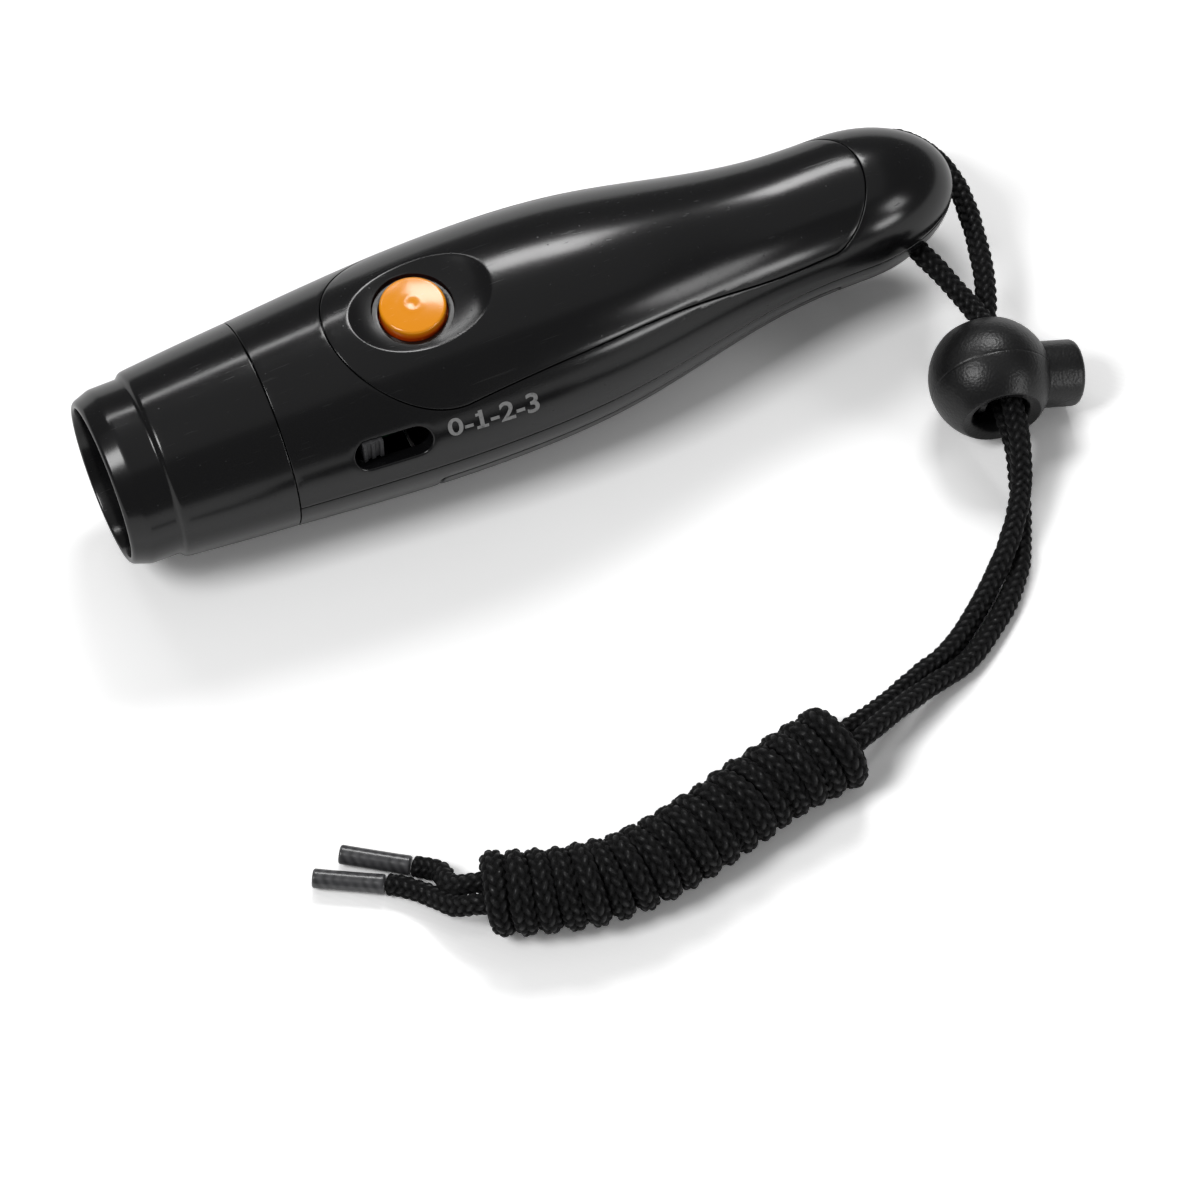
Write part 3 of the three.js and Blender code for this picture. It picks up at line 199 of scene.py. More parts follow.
def paintGloss(place):
    patches = noise(place, 60, 3.0, 0.6)
    fine = noise(place, 900, 3.0, 0.6)
    hairlines = noise(stretched(place, (90, 2600, 2600)), 1.0, 2.0, 0.5).ramp((0.66, 0), (0.72, 1))
    dust = cells(place, 420).ramp((0.035, 1), (0.07, 0))
    low, high = glossShell["gloss"]
    rough = patches * (high - low) + low + hairlines * 0.10 + dust * 0.25
    shade = (dust * 0.5 + hairlines * 0.25).blend(glossShell["colour"], glossShell["worn"])
    waves = bump(noise(place, 130, 1.0), 0.00004, 0.5)
    return surface(shade, rough, bump(fine + dust * 1.5, 0.000006, 0.6, Normal=waves))


glossBlack = material("glossBlack", paintGloss, IOR=1.5, Specular_IOR_Level=0.5)


# spark-eroded satin of the cord lock: a fine pebble
def paintSatin(place):
    pebble = cells(place, 2700, "SMOOTH_F1")
    cloud = noise(place, 240, 4.0, 0.6)
    rubbed = noise(place, 90, 3.0, 0.7).ramp((0.45, 0), (0.8, 1))
    rough = cloud * 0.10 + 0.32 - rubbed * 0.06
    shade = cloud.blend(rgb(0.0038, 0.0038, 0.0041), rgb(0.0075, 0.0075, 0.008))
    return surface(shade, rough, bump(pebble + cloud * 0.4, 0.00005, 0.8))


satinBlack = material("satinBlack", paintSatin)


# inner moulded plastic, as it leaves a plain mould
def paintInner(place):
    grain = noise(place, 2600, 3.0, 0.6)
    cloud = noise(place, 150, 3.0)
    shade = cloud.blend(rgb(0.018, 0.018, 0.020), rgb(0.034, 0.034, 0.037))
    return surface(shade, cloud * 0.1 + 0.5, bump(grain, 0.00003, 0.5))


innerBlack = material("innerBlack", paintInner)


# button: polished orange with painted shade by height, a deep red flank below and a lighter top; faint
# scuffs
buttonColours = {
    "top": rgb(0.93, 0.32, 0.003),
    "edge": rgb(0.95, 0.22, 0.002),
    "shadedFlank": rgb(0.72, 0.065, 0.001),
    "scuff": rgb(1.0, 0.45, 0.06),
    "shadeStartZ": 0.0360 - 0.0021,
    "height": 0.0019,
}


def paintButton(place):
    cloud = noise(place, 260, 2.0)
    scuffs = noise(stretched(place, (700, 5200, 700)), 1.0, 2.0).ramp((0.64, 0), (0.72, 1))
    # painted shade: the colour ramps with height, from the dark red flank up to the lighter top
    above = place.part("Z") - buttonColours["shadeStartZ"]
    rise = above.maths("DIVIDE", above, buttonColours["height"])
    stops = ((0.0, "shadedFlank"), (0.5, "edge"), (0.78, "top"))
    body = rise.ramp(*[(stop, buttonColours[name]) for stop, name in stops])
    shade = (scuffs * 0.2).blend(body, buttonColours["scuff"])
    relief = bump(noise(place, 420), 0.00003, 0.5)
    return surface(shade, cloud * 0.08 + 0.13 + scuffs * 0.12, relief)


orange = material("buttonOrange", paintButton, Coat_Weight=0.15, Coat_Roughness=0.08)


# braided polyester: fibre lines run with each stitch; painted shade darkens the gaps between stitches, and
# painted glints light fibres on the stitch tops
cordColours = {
    "paintedGapShade": rgb(0.0008, 0.0008, 0.0009),
    "yarn": rgb(0.0055, 0.0055, 0.0060),
    "fibre": rgb(0.055, 0.055, 0.058),
}


def paintCord(place):
    lift = place.attribute("lift")
    fibreLine = place.attribute("fibre")
    glint = noise(place, 2100, 2.0, 0.7).ramp((0.60, 0), (0.72, 1))
    strands = fibreLine.maths("SINE", fibreLine) * 0.5 + 0.5
    # painted shade: darker where the stitch is low, down to the gap shade between stitches
    yarn = lift.ramp((0.1, 0), (0.85, 1)).blend(cordColours["paintedGapShade"], cordColours["yarn"])
    # painted glints: the bright fibre colour falls on the stitch tops, where the glint noise is high
    shade = (strands * glint * lift * 0.55).blend(yarn, cordColours["fibre"])
    relief = bump(strands * 0.7 + noise(place, 6000, 2.0) * 0.6, 0.00006, 0.7)
    ridge = lift.ramp((0.80, 0), (0.97, 1)) * (glint * 0.7 + 0.45)
    return {**surface(shade, 0.62 - glint * 0.18, relief), "Coat Weight": ridge}


cordBlack = material(
    "cordBlack", paintCord, Specular_IOR_Level=0.16, Coat_Roughness=0.34,
    Sheen_Weight=0.02, Sheen_Roughness=0.5,
)


# cord tip: smoky plastic film shrunk on the cord, whose stitches show through as darker bands
def paintTip(place):
    bands = place.attribute("bands")
    cloud = noise(place, 420, 3.0)
    shade = (bands * 0.75 + cloud * 0.25).blend(rgb(0.030, 0.030, 0.032), rgb(0.085, 0.085, 0.09))
    return surface(shade, cloud * 0.2 + 0.22, bump(bands * 0.7 + cloud, 0.00005, 0.6))


smokyTip = material("smokyTip", paintTip, Coat_Weight=0.3, Coat_Roughness=0.15)


def metalPaint(dark, light, across, rough):
    def paint(place):
        brushed = noise(stretched(place, across), 1.0, 3.0, 0.7)
        spots = noise(place, 700, 3.0, 0.6)
        shade = (brushed * 0.6 + spots * 0.4).blend(dark, light)
        return surface(shade, brushed * 0.2 + rough, bump(brushed, 0.00001, 0.5))
    return paint


steelPaint = metalPaint(rgb(0.40, 0.41, 0.43), rgb(0.66, 0.67, 0.69), (300, 5000, 300), 0.22)
nickelPaint = metalPaint(rgb(0.52, 0.51, 0.48), rgb(0.74, 0.73, 0.70), (4000, 300, 300), 0.18)
platedSteel = material("platedSteel", steelPaint, Metallic=1.0)
nickel = material("nickelPlate", nickelPaint, Metallic=1.0)
copperPaint = metalPaint(rgb(0.38, 0.13, 0.05), rgb(0.64, 0.27, 0.12), (300, 300, 9000), 0.25)
copper = material("enamelledCopper", copperPaint, Metallic=1.0, Coat_Weight=0.5)


# circuit board: solder mask over traces, with plain copper pads; the mask's green is darkened as painted
# shade, since the board shows in the switch slot
def paintBoard(place):
    grid = place.node(
        "ShaderNodeTexBrick",
        {"offset": 0.5, "offset_frequency": 3},
        {
            "Vector": place, "Color1": rgb(0.002, 0.016, 0.007), "Color2": rgb(0.003, 0.020, 0.009),
            "Mortar": rgb(0.004, 0.030, 0.012), "Scale": 380.0, "Mortar Size": 0.08,
        },
    )
    pads = cells(place, 260).ramp((0.10, 1), (0.13, 0))
    shade = pads.blend(grid, rgb(0.30, 0.27, 0.22))
    return surface(shade, 0.32 - pads * 0.1, bump(pads, 0.00004, 0.6))


boardGreen = material("boardGreen", paintBoard, Coat_Weight=0.3)


# plain finishes of one grain: moulded resin, pressed paper, sintered ferrite
def grainPaint(texture, perMetre, dark, light, rough, depth, strength):
    def paint(place):
        grain = texture(place, perMetre)
        roughness = grain * rough[1] + rough[0] if rough[1] else rough[0]
        return surface(grain.blend(dark, light), roughness, bump(grain, depth, strength))
    return paint


def grainyNoise(detail, roughness):
    return lambda place, perMetre: noise(place, perMetre, detail, roughness)


resinBlack = material("mouldedResin", grainPaint(
    grainyNoise(3.0, 0.7), 4200, rgb(0.012, 0.012, 0.013), rgb(0.03, 0.03, 0.032),
    (0.45, 0.2), 0.00003, 0.6,
))
paperCone = material("pressedPaper", grainPaint(
    grainyNoise(5.0, 0.7), 3000, rgb(0.035, 0.033, 0.031), rgb(0.085, 0.08, 0.076),
    (0.85, 0.0), 0.00008, 0.8,
))
ferrite = material("sinteredFerrite", grainPaint(
    cells, 2600, rgb(0.028, 0.028, 0.03), rgb(0.06, 0.06, 0.065), (0.55, 0.2), 0.00005, 0.6,
))


# cell jacket: printed film in two plain colours, with a band at one end
def paintJacket(place):
    band = place.part("X") > 0.008
    cloud = noise(place, 300, 3.0)
    shade = band.blend(rgb(0.014, 0.016, 0.020), rgb(0.42, 0.30, 0.11))
    return surface(shade, cloud * 0.12 + 0.2, bump(cloud, 0.00002, 0.4))


cellJacket = material("cellJacket", paintJacket, Coat_Weight=0.4)


def wirePaint(dark, light):
    def paint(place):
        cloud = noise(place, 800, 3.0)
        relief = bump(noise(place, 2400), 0.00003, 0.5)
        return surface(cloud.blend(dark, light), cloud * 0.2 + 0.35, relief)
    return paint


wireRed = material("wireRed", wirePaint(rgb(0.33, 0.012, 0.01), rgb(0.5, 0.03, 0.02)))
wireBlack = material("wireBlack", wirePaint(rgb(0.01, 0.01, 0.01), rgb(0.028, 0.028, 0.028)))
resistorTan = material("resistorTan", wirePaint(rgb(0.45, 0.31, 0.15), rgb(0.62, 0.47, 0.27)))


# printed figures beside the mode switch: slightly worn light grey paint
def paintPrint(place):
    worn = noise(place, 1800, 4.0, 0.7).ramp((0.30, 0), (0.48, 1))
    shade = worn.blend(rgb(0.13, 0.13, 0.13), rgb(0.28, 0.28, 0.28))
    return surface(shade, 0.5 - worn * 0.1, bump(noise(place, 5000), 0.00002, 0.5))


greyPrint = material("greyPrint", paintPrint)
print("materials made")


def unit(vectors):
    return vectors / np.linalg.norm(vectors, axis=-1, keepdims=True)


def reachAlong(line):
    # length of the line from its start to each of its points
    return np.concatenate([[0], np.cumsum(np.linalg.norm(np.diff(line, axis=0), axis=1))])


def pointsAt(places, reach, line):
    return np.stack([np.interp(places, reach, line[:, i]) for i in range(line.shape[1])], -1)


# the whistle's surface of revolution: radii at stations along it, in mm from the rim
body = {
    "length": 140.0,
    "axisHeight": 18.3,
    "hornEnd": 25.8,
    "stations": [
        (25.8, 16.3), (31, 16.75), (42, 17.6), (52, 18.15), (62, 18.3), (72, 18.0), (82, 16.95),
        (92, 15.1), (102, 13.1), (111, 11.9), (122, 11.6),
    ],
    "tailLength": 18.0,
    "wall": 2.2,
    "socketRadius": 14.75,
    "socketEnd": 31.2,
    "seamGap": 0.1,
    "seamEdge": 0.16,
    "unroll": 17.0,
}


def smoothStations(stations, endSlope):
    # cubic spline, free at its start and with a given slope at its end
    xs, ys = (np.array(column, float) for column in zip(*stations))
    count = len(xs)
    step = np.diff(xs)
    rise = np.diff(ys) / step
    matrix = np.zeros((count, count))
    wanted = np.zeros(count)
    matrix[0, 0] = 1
    for i in range(1, count - 1):
        matrix[i, i - 1:i + 2] = step[i - 1], 2 * (step[i - 1] + step[i]), step[i]
        wanted[i] = 6 * (rise[i] - rise[i - 1])
    matrix[-1, -2:] = step[-1], 2 * step[-1]
    wanted[-1] = 6 * (endSlope - rise[-1])
    bend = np.linalg.solve(matrix, wanted)

    def value(x):
        i = np.clip(np.searchsorted(xs, x) - 1, 0, count - 2)
        left, right, h = x - xs[i], xs[i + 1] - x, step[i]
        curve = (bend[i] * right ** 3 + bend[i + 1] * left ** 3) / (6 * h)
        return curve + (ys[i] / h - bend[i] * h / 6) * right + (ys[i + 1] / h - bend[i + 1] * h / 6) * left
    return value


def bodyProfile():
    tailStart, tailRadius = body["stations"][-1]
    line = smoothStations(body["stations"], 0.0)
    xs = np.arange(body["hornEnd"], tailStart, 0.1)
    turn = np.radians(np.linspace(0, 90, 181))
    x = np.concatenate([xs, tailStart + body["tailLength"] * np.sin(turn)])
    r = np.concatenate([line(xs), tailRadius * np.cos(turn)])
    slopeX, slopeR = np.gradient(x), np.gradient(r)
    size = np.hypot(slopeX, slopeR)
    along = reachAlong(np.stack([x, r], -1))
    outX, outR = -slopeR / size, slopeX / size
    outX[-1], outR[-1] = 1.0, 0.0
    return {"x": x, "r": r, "along": along, "outX": outX, "outR": outR}


profile = bodyProfile()
bodyAlong = profile["along"][-1]


def alongAt(x):
    return np.interp(x, profile["x"], profile["along"])


def radiusAt(x):
    return np.interp(x, profile["x"], profile["r"])


def heightAt(x, y):
    # height of the skin over the axis
    return math.sqrt(float(radiusAt(x)) ** 2 - y * y)


def onBody(along, turn, depth):
    # point of the shell, in mm from the rim, in whistle axes: turn is from the top to the switch's side
    x, r, outX, outR = (np.interp(along, profile["along"], profile[k]) for k in ("x", "r", "outX", "outR"))
    x = x - depth * outX
    r = np.maximum(r - depth * outR, 0)
    return np.stack([x, -r * np.sin(turn), r * np.cos(turn)], -1)


def toRow(points):
    # millimetres in whistle axes to metres in the row frame
    return (np.asarray(points, float) + (-body["length"] / 2, 0, body["axisHeight"])) * mm


def floorToRow(points):
    # the same for points whose heights are from the floor
    return (np.asarray(points, float) + (-body["length"] / 2, 0, 0)) * mm


def coat(mesh, look):
    mesh.materials.clear()
    mesh.materials.append(look)


def smoothed(mesh, sharpAngle):
    mesh.polygons.foreach_set("use_smooth", [True] * len(mesh.polygons))
    mesh.set_sharp_from_angle(angle=math.radians(sharpAngle))


def bakedMesh(piece):
    # the piece's mesh with its modifiers carried out
    bpy.context.view_layer.update()
    baked = bpy.data.meshes.new_from_object(piece.evaluated_get(bpy.context.evaluated_depsgraph_get()))
    piece.modifiers.clear()
    return baked


def setAttribute(piece, label, values):
    attribute = piece.data.attributes.new(label, "FLOAT", "POINT")
    attribute.data.foreach_set("value", values.astype(np.float32))


def meshPiece(name, points, faces, look, sharpAngle=40.0, merge=0.0):
    mesh = bpy.data.meshes.new(name)
    mesh.from_pydata([tuple(p) for p in points], [], [tuple(f) for f in faces])
    shaped = bmesh.new()
    shaped.from_mesh(mesh)
    if merge:
        bmesh.ops.remove_doubles(shaped, verts=shaped.verts, dist=merge)
        bmesh.ops.dissolve_degenerate(shaped, edges=shaped.edges, dist=merge)
    shaped.to_mesh(mesh)
    shaped.free()
    smoothed(mesh, sharpAngle)
    mesh.materials.append(look)
    return newObject(name, mesh)


def dress(piece, ridesOn, slotName, *replaced):
    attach(piece, ridesOn)
    if replaced:
        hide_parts(*replaced)
    return piece


# loops on the unrolled surface: (along, turn * unroll), in mm
def unrolled(along, turn):
    return np.stack([along, np.asarray(turn) * body["unroll"]], -1)


def fromPlan(x, y, below=False):
    turn = np.arcsin(np.clip(-np.asarray(y) / radiusAt(x), -1, 1))
    return unrolled(alongAt(x), math.pi - turn if below else turn)


def fromSide(x, z, far=False):
    turn = np.arccos(np.clip(np.asarray(z) / radiusAt(x), -1, 1))
    return unrolled(alongAt(x), 2 * math.pi - turn if far else turn)


def evenLoop(points, step):
    # closed line resampled evenly
    points = np.asarray(points, float)
    closed = np.vstack([points, points[:1]])
    reach = reachAlong(closed)
    places = np.linspace(0, reach[-1], max(12, int(reach[-1] / step)), endpoint=False)
    return pointsAt(places, reach, closed)


def roundedBox(a0, a1, b0, b1, corner, step):
    # rectangle with round corners, counterclockwise
    quarter = np.linspace(0, math.pi / 2, 9)
    points = []
    for centreA, centreB, first in (
        (a1 - corner, b1 - corner, 0), (a0 + corner, b1 - corner, 1),
        (a0 + corner, b0 + corner, 2), (a1 - corner, b0 + corner, 3),
    ):
        angle = quarter + first * math.pi / 2
        points.append(np.stack([centreA + corner * np.cos(angle), centreB + corner * np.sin(angle)], -1))
    return evenLoop(np.vstack(points), step)


def signedArea(loop):
    following = np.roll(loop, -1, axis=0)
    return 0.5 * np.sum(loop[:, 0] * following[:, 1] - following[:, 0] * loop[:, 1])


def shifted(loop, distance):
    # loop moved to its left, which is where the material lies
    before = loop - np.roll(loop, 1, axis=0)
    after = np.roll(loop, -1, axis=0) - loop
    sides = []
    for edge in (before, after):
        size = np.linalg.norm(edge, axis=1, keepdims=True)
        sides.append(np.stack([-edge[:, 1], edge[:, 0]], -1) / np.maximum(size, 1e-9))
    middle = sides[0] + sides[1]
    middle /= np.maximum(np.linalg.norm(middle, axis=1, keepdims=True), 1e-9)
    stretch = 1 / np.clip(np.sum(middle * sides[0], axis=1, keepdims=True), 0.5, 1)
    return loop + middle * stretch * distance


def insideLoop(points, loop):
    x, y = points[:, 0], points[:, 1]
    inside = np.zeros(len(points), bool)
    previous = loop[-1]
    for corner in loop:
        crosses = (corner[1] > y) != (previous[1] > y)
        with np.errstate(divide="ignore", invalid="ignore"):
            reach = (previous[0] - corner[0]) * (y - corner[1]) / (previous[1] - corner[1]) + corner[0]
        inside ^= crosses & (x < reach)
        previous = corner
    return inside


def distanceToLoop(points, loop):
    nearest = np.full(len(points), 1e9)
    ends = np.roll(loop, -1, axis=0)
    for start, end in zip(loop, ends):
        edge = end - start
        share = np.clip((points - start) @ edge / max(edge @ edge, 1e-12), 0, 1)
        nearest = np.minimum(nearest, np.linalg.norm(points - start - share[:, None] * edge, axis=1))
    return nearest


def insideNet(points, loops):
    # inside the first loop and outside the others
    keep = insideLoop(points, loops[0])
    for hole in loops[1:]:
        keep &= ~insideLoop(points, hole)
    return keep


ringShares = (0.0, 0.12, 0.32, 0.6, 1.0)


def patch(outline, holes, edges, grid, finer=None, creases=()):
    # flat net of triangles inside the outline: rounded rims, even points between them
    loops = [outline if signedArea(outline) > 0 else outline[::-1]]
    loops += [hole if signedArea(hole) < 0 else hole[::-1] for hole in holes]
    rings = []
    for loop, edge in zip(loops, edges):
        for share in ringShares:
            distance = share * edge
            depth = edge - math.sqrt(max(edge ** 2 - (edge - distance) ** 2, 0))
            rings.append((shifted(loop, distance), depth, share == 0))
    rings += [(loop, 0.0, False) for loop in creases]
    points, depths, lines, rims = [], [], [], []
    for ring, depth, isRim in rings:
        first, size = len(depths), len(ring)
        points.append(ring)
        depths += [depth] * size
        lines += [(first + i, first + (i + 1) % size) for i in range(size)]
        if isRim:
            rims.append(range(first, first + size))
    low, high = outline.min(0), outline.max(0)
    steps = [(grid, None)] + ([finer] if finer else [])
    net = []
    for step, zone in steps:
        rows = np.arange(low[1], high[1], step * 0.866)
        for k, row in enumerate(rows):
            line = np.arange(low[0] + (k % 2) * step / 2, high[0], step)
            net.append(np.stack([line, np.full(len(line), row), np.full(len(line), step)], -1))
            if zone is not None:
                net[-1] = net[-1][zone(net[-1])]
            elif finer:
                net[-1] = net[-1][~finer[1](net[-1])]
    net = np.vstack(net)
    net = net[insideNet(net[:, :2], loops)]
    for loop, edge in zip(loops, edges):
        net = net[distanceToLoop(net[:, :2], loop) > edge + 0.45 * net[:, 2]]
    for loop in creases:
        net = net[distanceToLoop(net[:, :2], loop) > 0.2]
    points.append(net[:, :2])
    depths += [0.0] * len(net)
    points = np.vstack(points)
    made = delaunay_2d_cdt([Vector(p) for p in points], lines, [], 0, 1e-5, True)
    flat = np.array([tuple(p) for p in made[0]])
    source = [ids[0] if ids else -1 for ids in made[3]]
    place = {}
    for new, ids in enumerate(made[3]):
        for old in ids:
            place[old] = new
    depth = np.array([depths[old] if old >= 0 else 0.0 for old in source])
    triangles = np.array([tuple(face) for face in made[2]])
    return {
        "flat": flat, "depth": depth, "triangles": triangles[insideNet(flat[triangles].mean(1), loops)],
        "rims": [[place[i] for i in rim] for rim in rims],
    }


def shellFromPatch(net, outer, inner):
    # closed wall: the outer skin, the inner skin turned round, and walls along every rim
    count = len(net["flat"])
    along, turn = net["flat"][:, 0], net["flat"][:, 1] / body["unroll"]
    points = np.vstack([outer(along, turn, net["depth"]), inner(along, turn)])
    triangles = net["triangles"]
    first = points[triangles[:2000]]
    normals = np.cross(first[:, 1] - first[:, 0], first[:, 2] - first[:, 0])
    outward = first.mean(1) * (0, 1, 1)
    if np.sum(normals * outward) < 0:
        triangles = triangles[:, ::-1]
    faces = [tuple(t) for t in triangles] + [tuple(t[::-1] + count) for t in triangles]
    ways = {way for a, b, c in triangles for way in ((a, b), (b, c), (c, a))}
    for rim in net["rims"]:
        for i, start in enumerate(rim):
            end = rim[(i + 1) % len(rim)]
            a, b = (start, end) if (start, end) in ways else (end, start)
            faces.append((b, a, a + count, b + count))
    return points, faces


def wallAt(along):
    x = np.interp(along, profile["along"], profile["x"])
    r = np.interp(along, profile["along"], profile["r"])
    return np.where(x < body["socketEnd"], np.minimum(body["wall"], r - body["socketRadius"]), body["wall"])


def innerSkin(along, turn):
    return onBody(along, turn, wallAt(along))


def ringFaces(rings, sides, closed=False):
    faces = []
    for i in range(rings if closed else rings - 1):
        here, ahead = i * sides, (i + 1) % rings * sides
        for k in range(sides):
            n = (k + 1) % sides
            faces.append((here + k, here + n, ahead + n, ahead + k))
    return faces


def lathe(line, sides, axis="x", origin=(0, 0, 0), closed=False):
    # turned body from [along, radius] points; the ends reach the axis unless it is closed on itself
    line = np.asarray(line, float)
    angle = np.linspace(0, 2 * math.pi, sides, endpoint=False)
    along, r = line[:, :1], line[:, 1:]
    rings = np.stack([along + 0 * angle, r * np.cos(angle), r * np.sin(angle)], -1).reshape(-1, 3)
    return np.roll(rings, "xyz".index(axis), axis=1) + origin, ringFaces(len(line), sides, closed)


def filleted(corners):
    # [along, radius, rounding] corners as a smooth line of [along, radius] points
    corners = [(*c, 0.0)[:3] for c in corners]
    line = []
    for i, (x, y, rounding) in enumerate(corners):
        here = np.array([x, y], float)
        if rounding <= 0 or i in (0, len(corners) - 1):
            line.append(here)
            continue
        before = np.array(corners[i - 1][:2], float) - here
        after = np.array(corners[i + 1][:2], float) - here
        reachA, reachB = np.linalg.norm(before), np.linalg.norm(after)
        reach = min(rounding, reachA * 0.49, reachB * 0.49)
        start, end = here + before / reachA * reach, here + after / reachB * reach
        for share in np.linspace(0, 1, 7):
            line.append((1 - share) ** 2 * start + 2 * share * (1 - share) * here + share ** 2 * end)
    return np.array(line)


def outsideOut(points, faces, name, look, **options):
    # closed form with its faces turned outwards
    piece = meshPiece(name, points, faces, look, merge=1e-7, **options)
    shaped = bmesh.new()
    shaped.from_mesh(piece.data)
    bmesh.ops.recalc_face_normals(shaped, faces=shaped.faces)
    shaped.to_mesh(piece.data)
    shaped.free()
    return piece


def gathered(parts):
    points, faces, count = [], [], 0
    for partPoints, partFaces in parts:
        points.append(partPoints)
        faces += [tuple(i + count for i in face) for face in partFaces]
        count += len(partPoints)
    return np.vstack(points), faces


def bodyPiece(name, parts, ridesOn, slotName, node, look=glossBlack, **options):
    points, faces = gathered(parts)
    return dress(outsideOut(toRow(points), faces, name, look, **options), ridesOn, slotName, node)


# horn: its closed profile, along and radius and rounding
horn = {
    "sides": 160,
    "corners": [
        (31.0, 13.2), (30.8, 14.4, 0.15), (29.3, 14.4, 0.2), (28.7, 15.0, 0.3), (28.1, 14.4, 0.2),
        (26.0, 14.4, 0.1), (25.75, 14.4, 0.0), (25.75, 16.28, 0.22), (17.2, 15.62, 3.0),
        (9.1, 14.86, 0.55), (8.2, 14.72, 0.4), (7.55, 13.98, 0.35), (2.95, 13.92, 0.5),
        (0.35, 13.0, 0.35), (0.0, 12.55, 0.3), (0.05, 11.95, 0.3), (1.2, 11.72, 0.6),
        (7.6, 11.25, 2.5), (14.5, 10.6, 0.4), (14.5, 13.2, 0.0), (30.8, 13.2, 0.0),
    ],
}


def makeHorn():
    turned = lathe(filleted(horn["corners"]), horn["sides"], closed=True)
    bodyPiece("hornShell", [turned], "housing", "shell_black", "horn")


makeHorn()
print("horn made")

# housing halves
panel = {
    "noseX": 37.6, "wideX": 54.0, "halfWidth": 15.2,
    "sides": [(54.0, 15.2), (69, 14.45), (76, 13.95), (93, 12.0), (104, 11.1), (115.6, 10.3)],
    "rearX": 124.6, "rearLength": 9.0, "rearHalfWidth": 10.3,
    "thickness": 1.1, "gap": 0.2, "slit": 0.13, "edge": 0.16, "rimEdge": 0.14, "holeEdge": 0.15,
}
switch = {
    "slotX": (35.3, 47.4), "slotHeight": 4.9, "slotZ": 6.75, "slotEdge": 0.3,
    "knobX": 38.4, "knobHeight": 4.3, "knobEdge": 0.07, "setIn": 0.65, "depth": 2.7, "ribHeight": 0.35,
}
door = {
    "frontX": 48.0, "rearX": 117.0, "edgeAngle": 14.0, "gap": 0.2, "frontGap": 0.6, "corner": 1.0,
    "edge": 0.22, "ribX": (58, 92), "ribY": 5.4, "ribThickness": 1.2, "ribTop": -9.2,
    "clipX": (58, 84), "clipLength": 6, "clipThickness": 1.1, "clipTall": 6.4, "clipRise": 2.6,
    "clipInset": 0.6, "hookX": (113.8, 119.2), "hookHalfWidth": 1.2, "hookRise": (0.4, 2.4),
}
cordHole = {"x": 131.0, "z": -5.0, "radius": 2.2, "edge": 0.5}
screws = {
    # x, y and the height of the seat under the head
    "places": [(34.3, -4.6, -9.3), (34.3, 4.6, -9.3), (120.6, 0.0, -6.4)],
    "postRadius": 2.3, "bore": 1.6, "wellRadius": 3.2, "wellBore": 2.6, "seatHeight": 1.2, "edge": 0.2,
}


def panelPlan(margin):
    # plan of the panel in x and y: elliptic nose, sides along stations, elliptic rear
    sideLine = smoothStations([(x, y + margin) for x, y in panel["sides"]], -0.05)
    noseLength = panel["wideX"] - panel["noseX"] + margin
    angle = np.radians(np.linspace(90, 0, 60))
    nose = [(panel["wideX"] - noseLength * math.sin(a), (panel["halfWidth"] + margin) * math.cos(a))
            for a in np.radians(np.linspace(90, 2, 60))]
    rearStart = panel["rearX"] - panel["rearLength"]
    middle = [(x, float(sideLine(x))) for x in np.arange(panel["wideX"], rearStart, 1.0)]
    width = panel["rearHalfWidth"] + margin
    rear = [(rearStart + (panel["rearLength"] + margin) * math.cos(a), width * math.sin(a)) for a in angle]
    half = np.array(nose + middle + rear[:-1])
    mirrored = half[::-1] * (1, -1)
    tip = np.array([[panel["rearX"] + margin, 0.0]])
    return np.vstack([half, tip, mirrored])


def panelLoop(margin, step=0.5):
    plan = evenLoop(panelPlan(margin), step)
    return fromPlan(plan[:, 0], plan[:, 1])


def slotLoop(margin=0.0):
    x0, x1 = switch["slotX"]
    half = switch["slotHeight"] / 2 + margin
    angle = np.linspace(-math.pi / 2, math.pi / 2, 24)
    right = np.stack([x1 + margin - half + half * np.cos(angle), switch["slotZ"] + half * np.sin(angle)], -1)
    left = np.stack([x0 - margin + half - half * np.cos(angle), switch["slotZ"] - half * np.sin(angle)], -1)
    loop = evenLoop(np.vstack([right, left]), 0.3)
    return fromSide(loop[:, 0], loop[:, 1])


def circle(seenFrom, first, second, radius, otherSide, count=40):
    angle = np.linspace(0, 2 * math.pi, count, endpoint=False)
    return seenFrom(first + radius * np.cos(angle), second + radius * np.sin(angle), otherSide)


def halfOutline(middleTurn):
    gap = body["seamGap"] / 2
    reach = math.pi / 2 * body["unroll"] - gap
    middle = middleTurn * body["unroll"]
    return roundedBox(0.06, bodyAlong - 0.02, middle - reach, middle + reach, 0.05, 0.5)


def doorLoop(margin, frontMargin):
    edge = math.pi / 2 + math.radians(door["edgeAngle"])
    low = edge * body["unroll"] - margin
    high = (2 * math.pi - edge) * body["unroll"] + margin
    start = alongAt(door["frontX"] - frontMargin)
    end = alongAt(door["rearX"] + margin)
    return roundedBox(float(start), float(end), low, high, door["corner"], 0.5)


def addTube(parts, x, y, z0, z1, radius, bore):
    line = [(z0, bore), (z0, radius), (z1, radius), (z1, bore)]
    parts.append(lathe(line, 28, "z", (x, y, 0), closed=True))


boxFaces = [(0, 1, 3, 2), (4, 6, 7, 5), (0, 4, 5, 1), (2, 3, 7, 6), (0, 2, 6, 4), (1, 5, 7, 3)]


def boxCorners(spanX, spanY, spanZ):
    return [(x, y, z) for x in spanX for y in spanY for z in spanZ]


def addBlock(parts, *spans):
    parts.append((np.array(boxCorners(*spans), float), boxFaces))


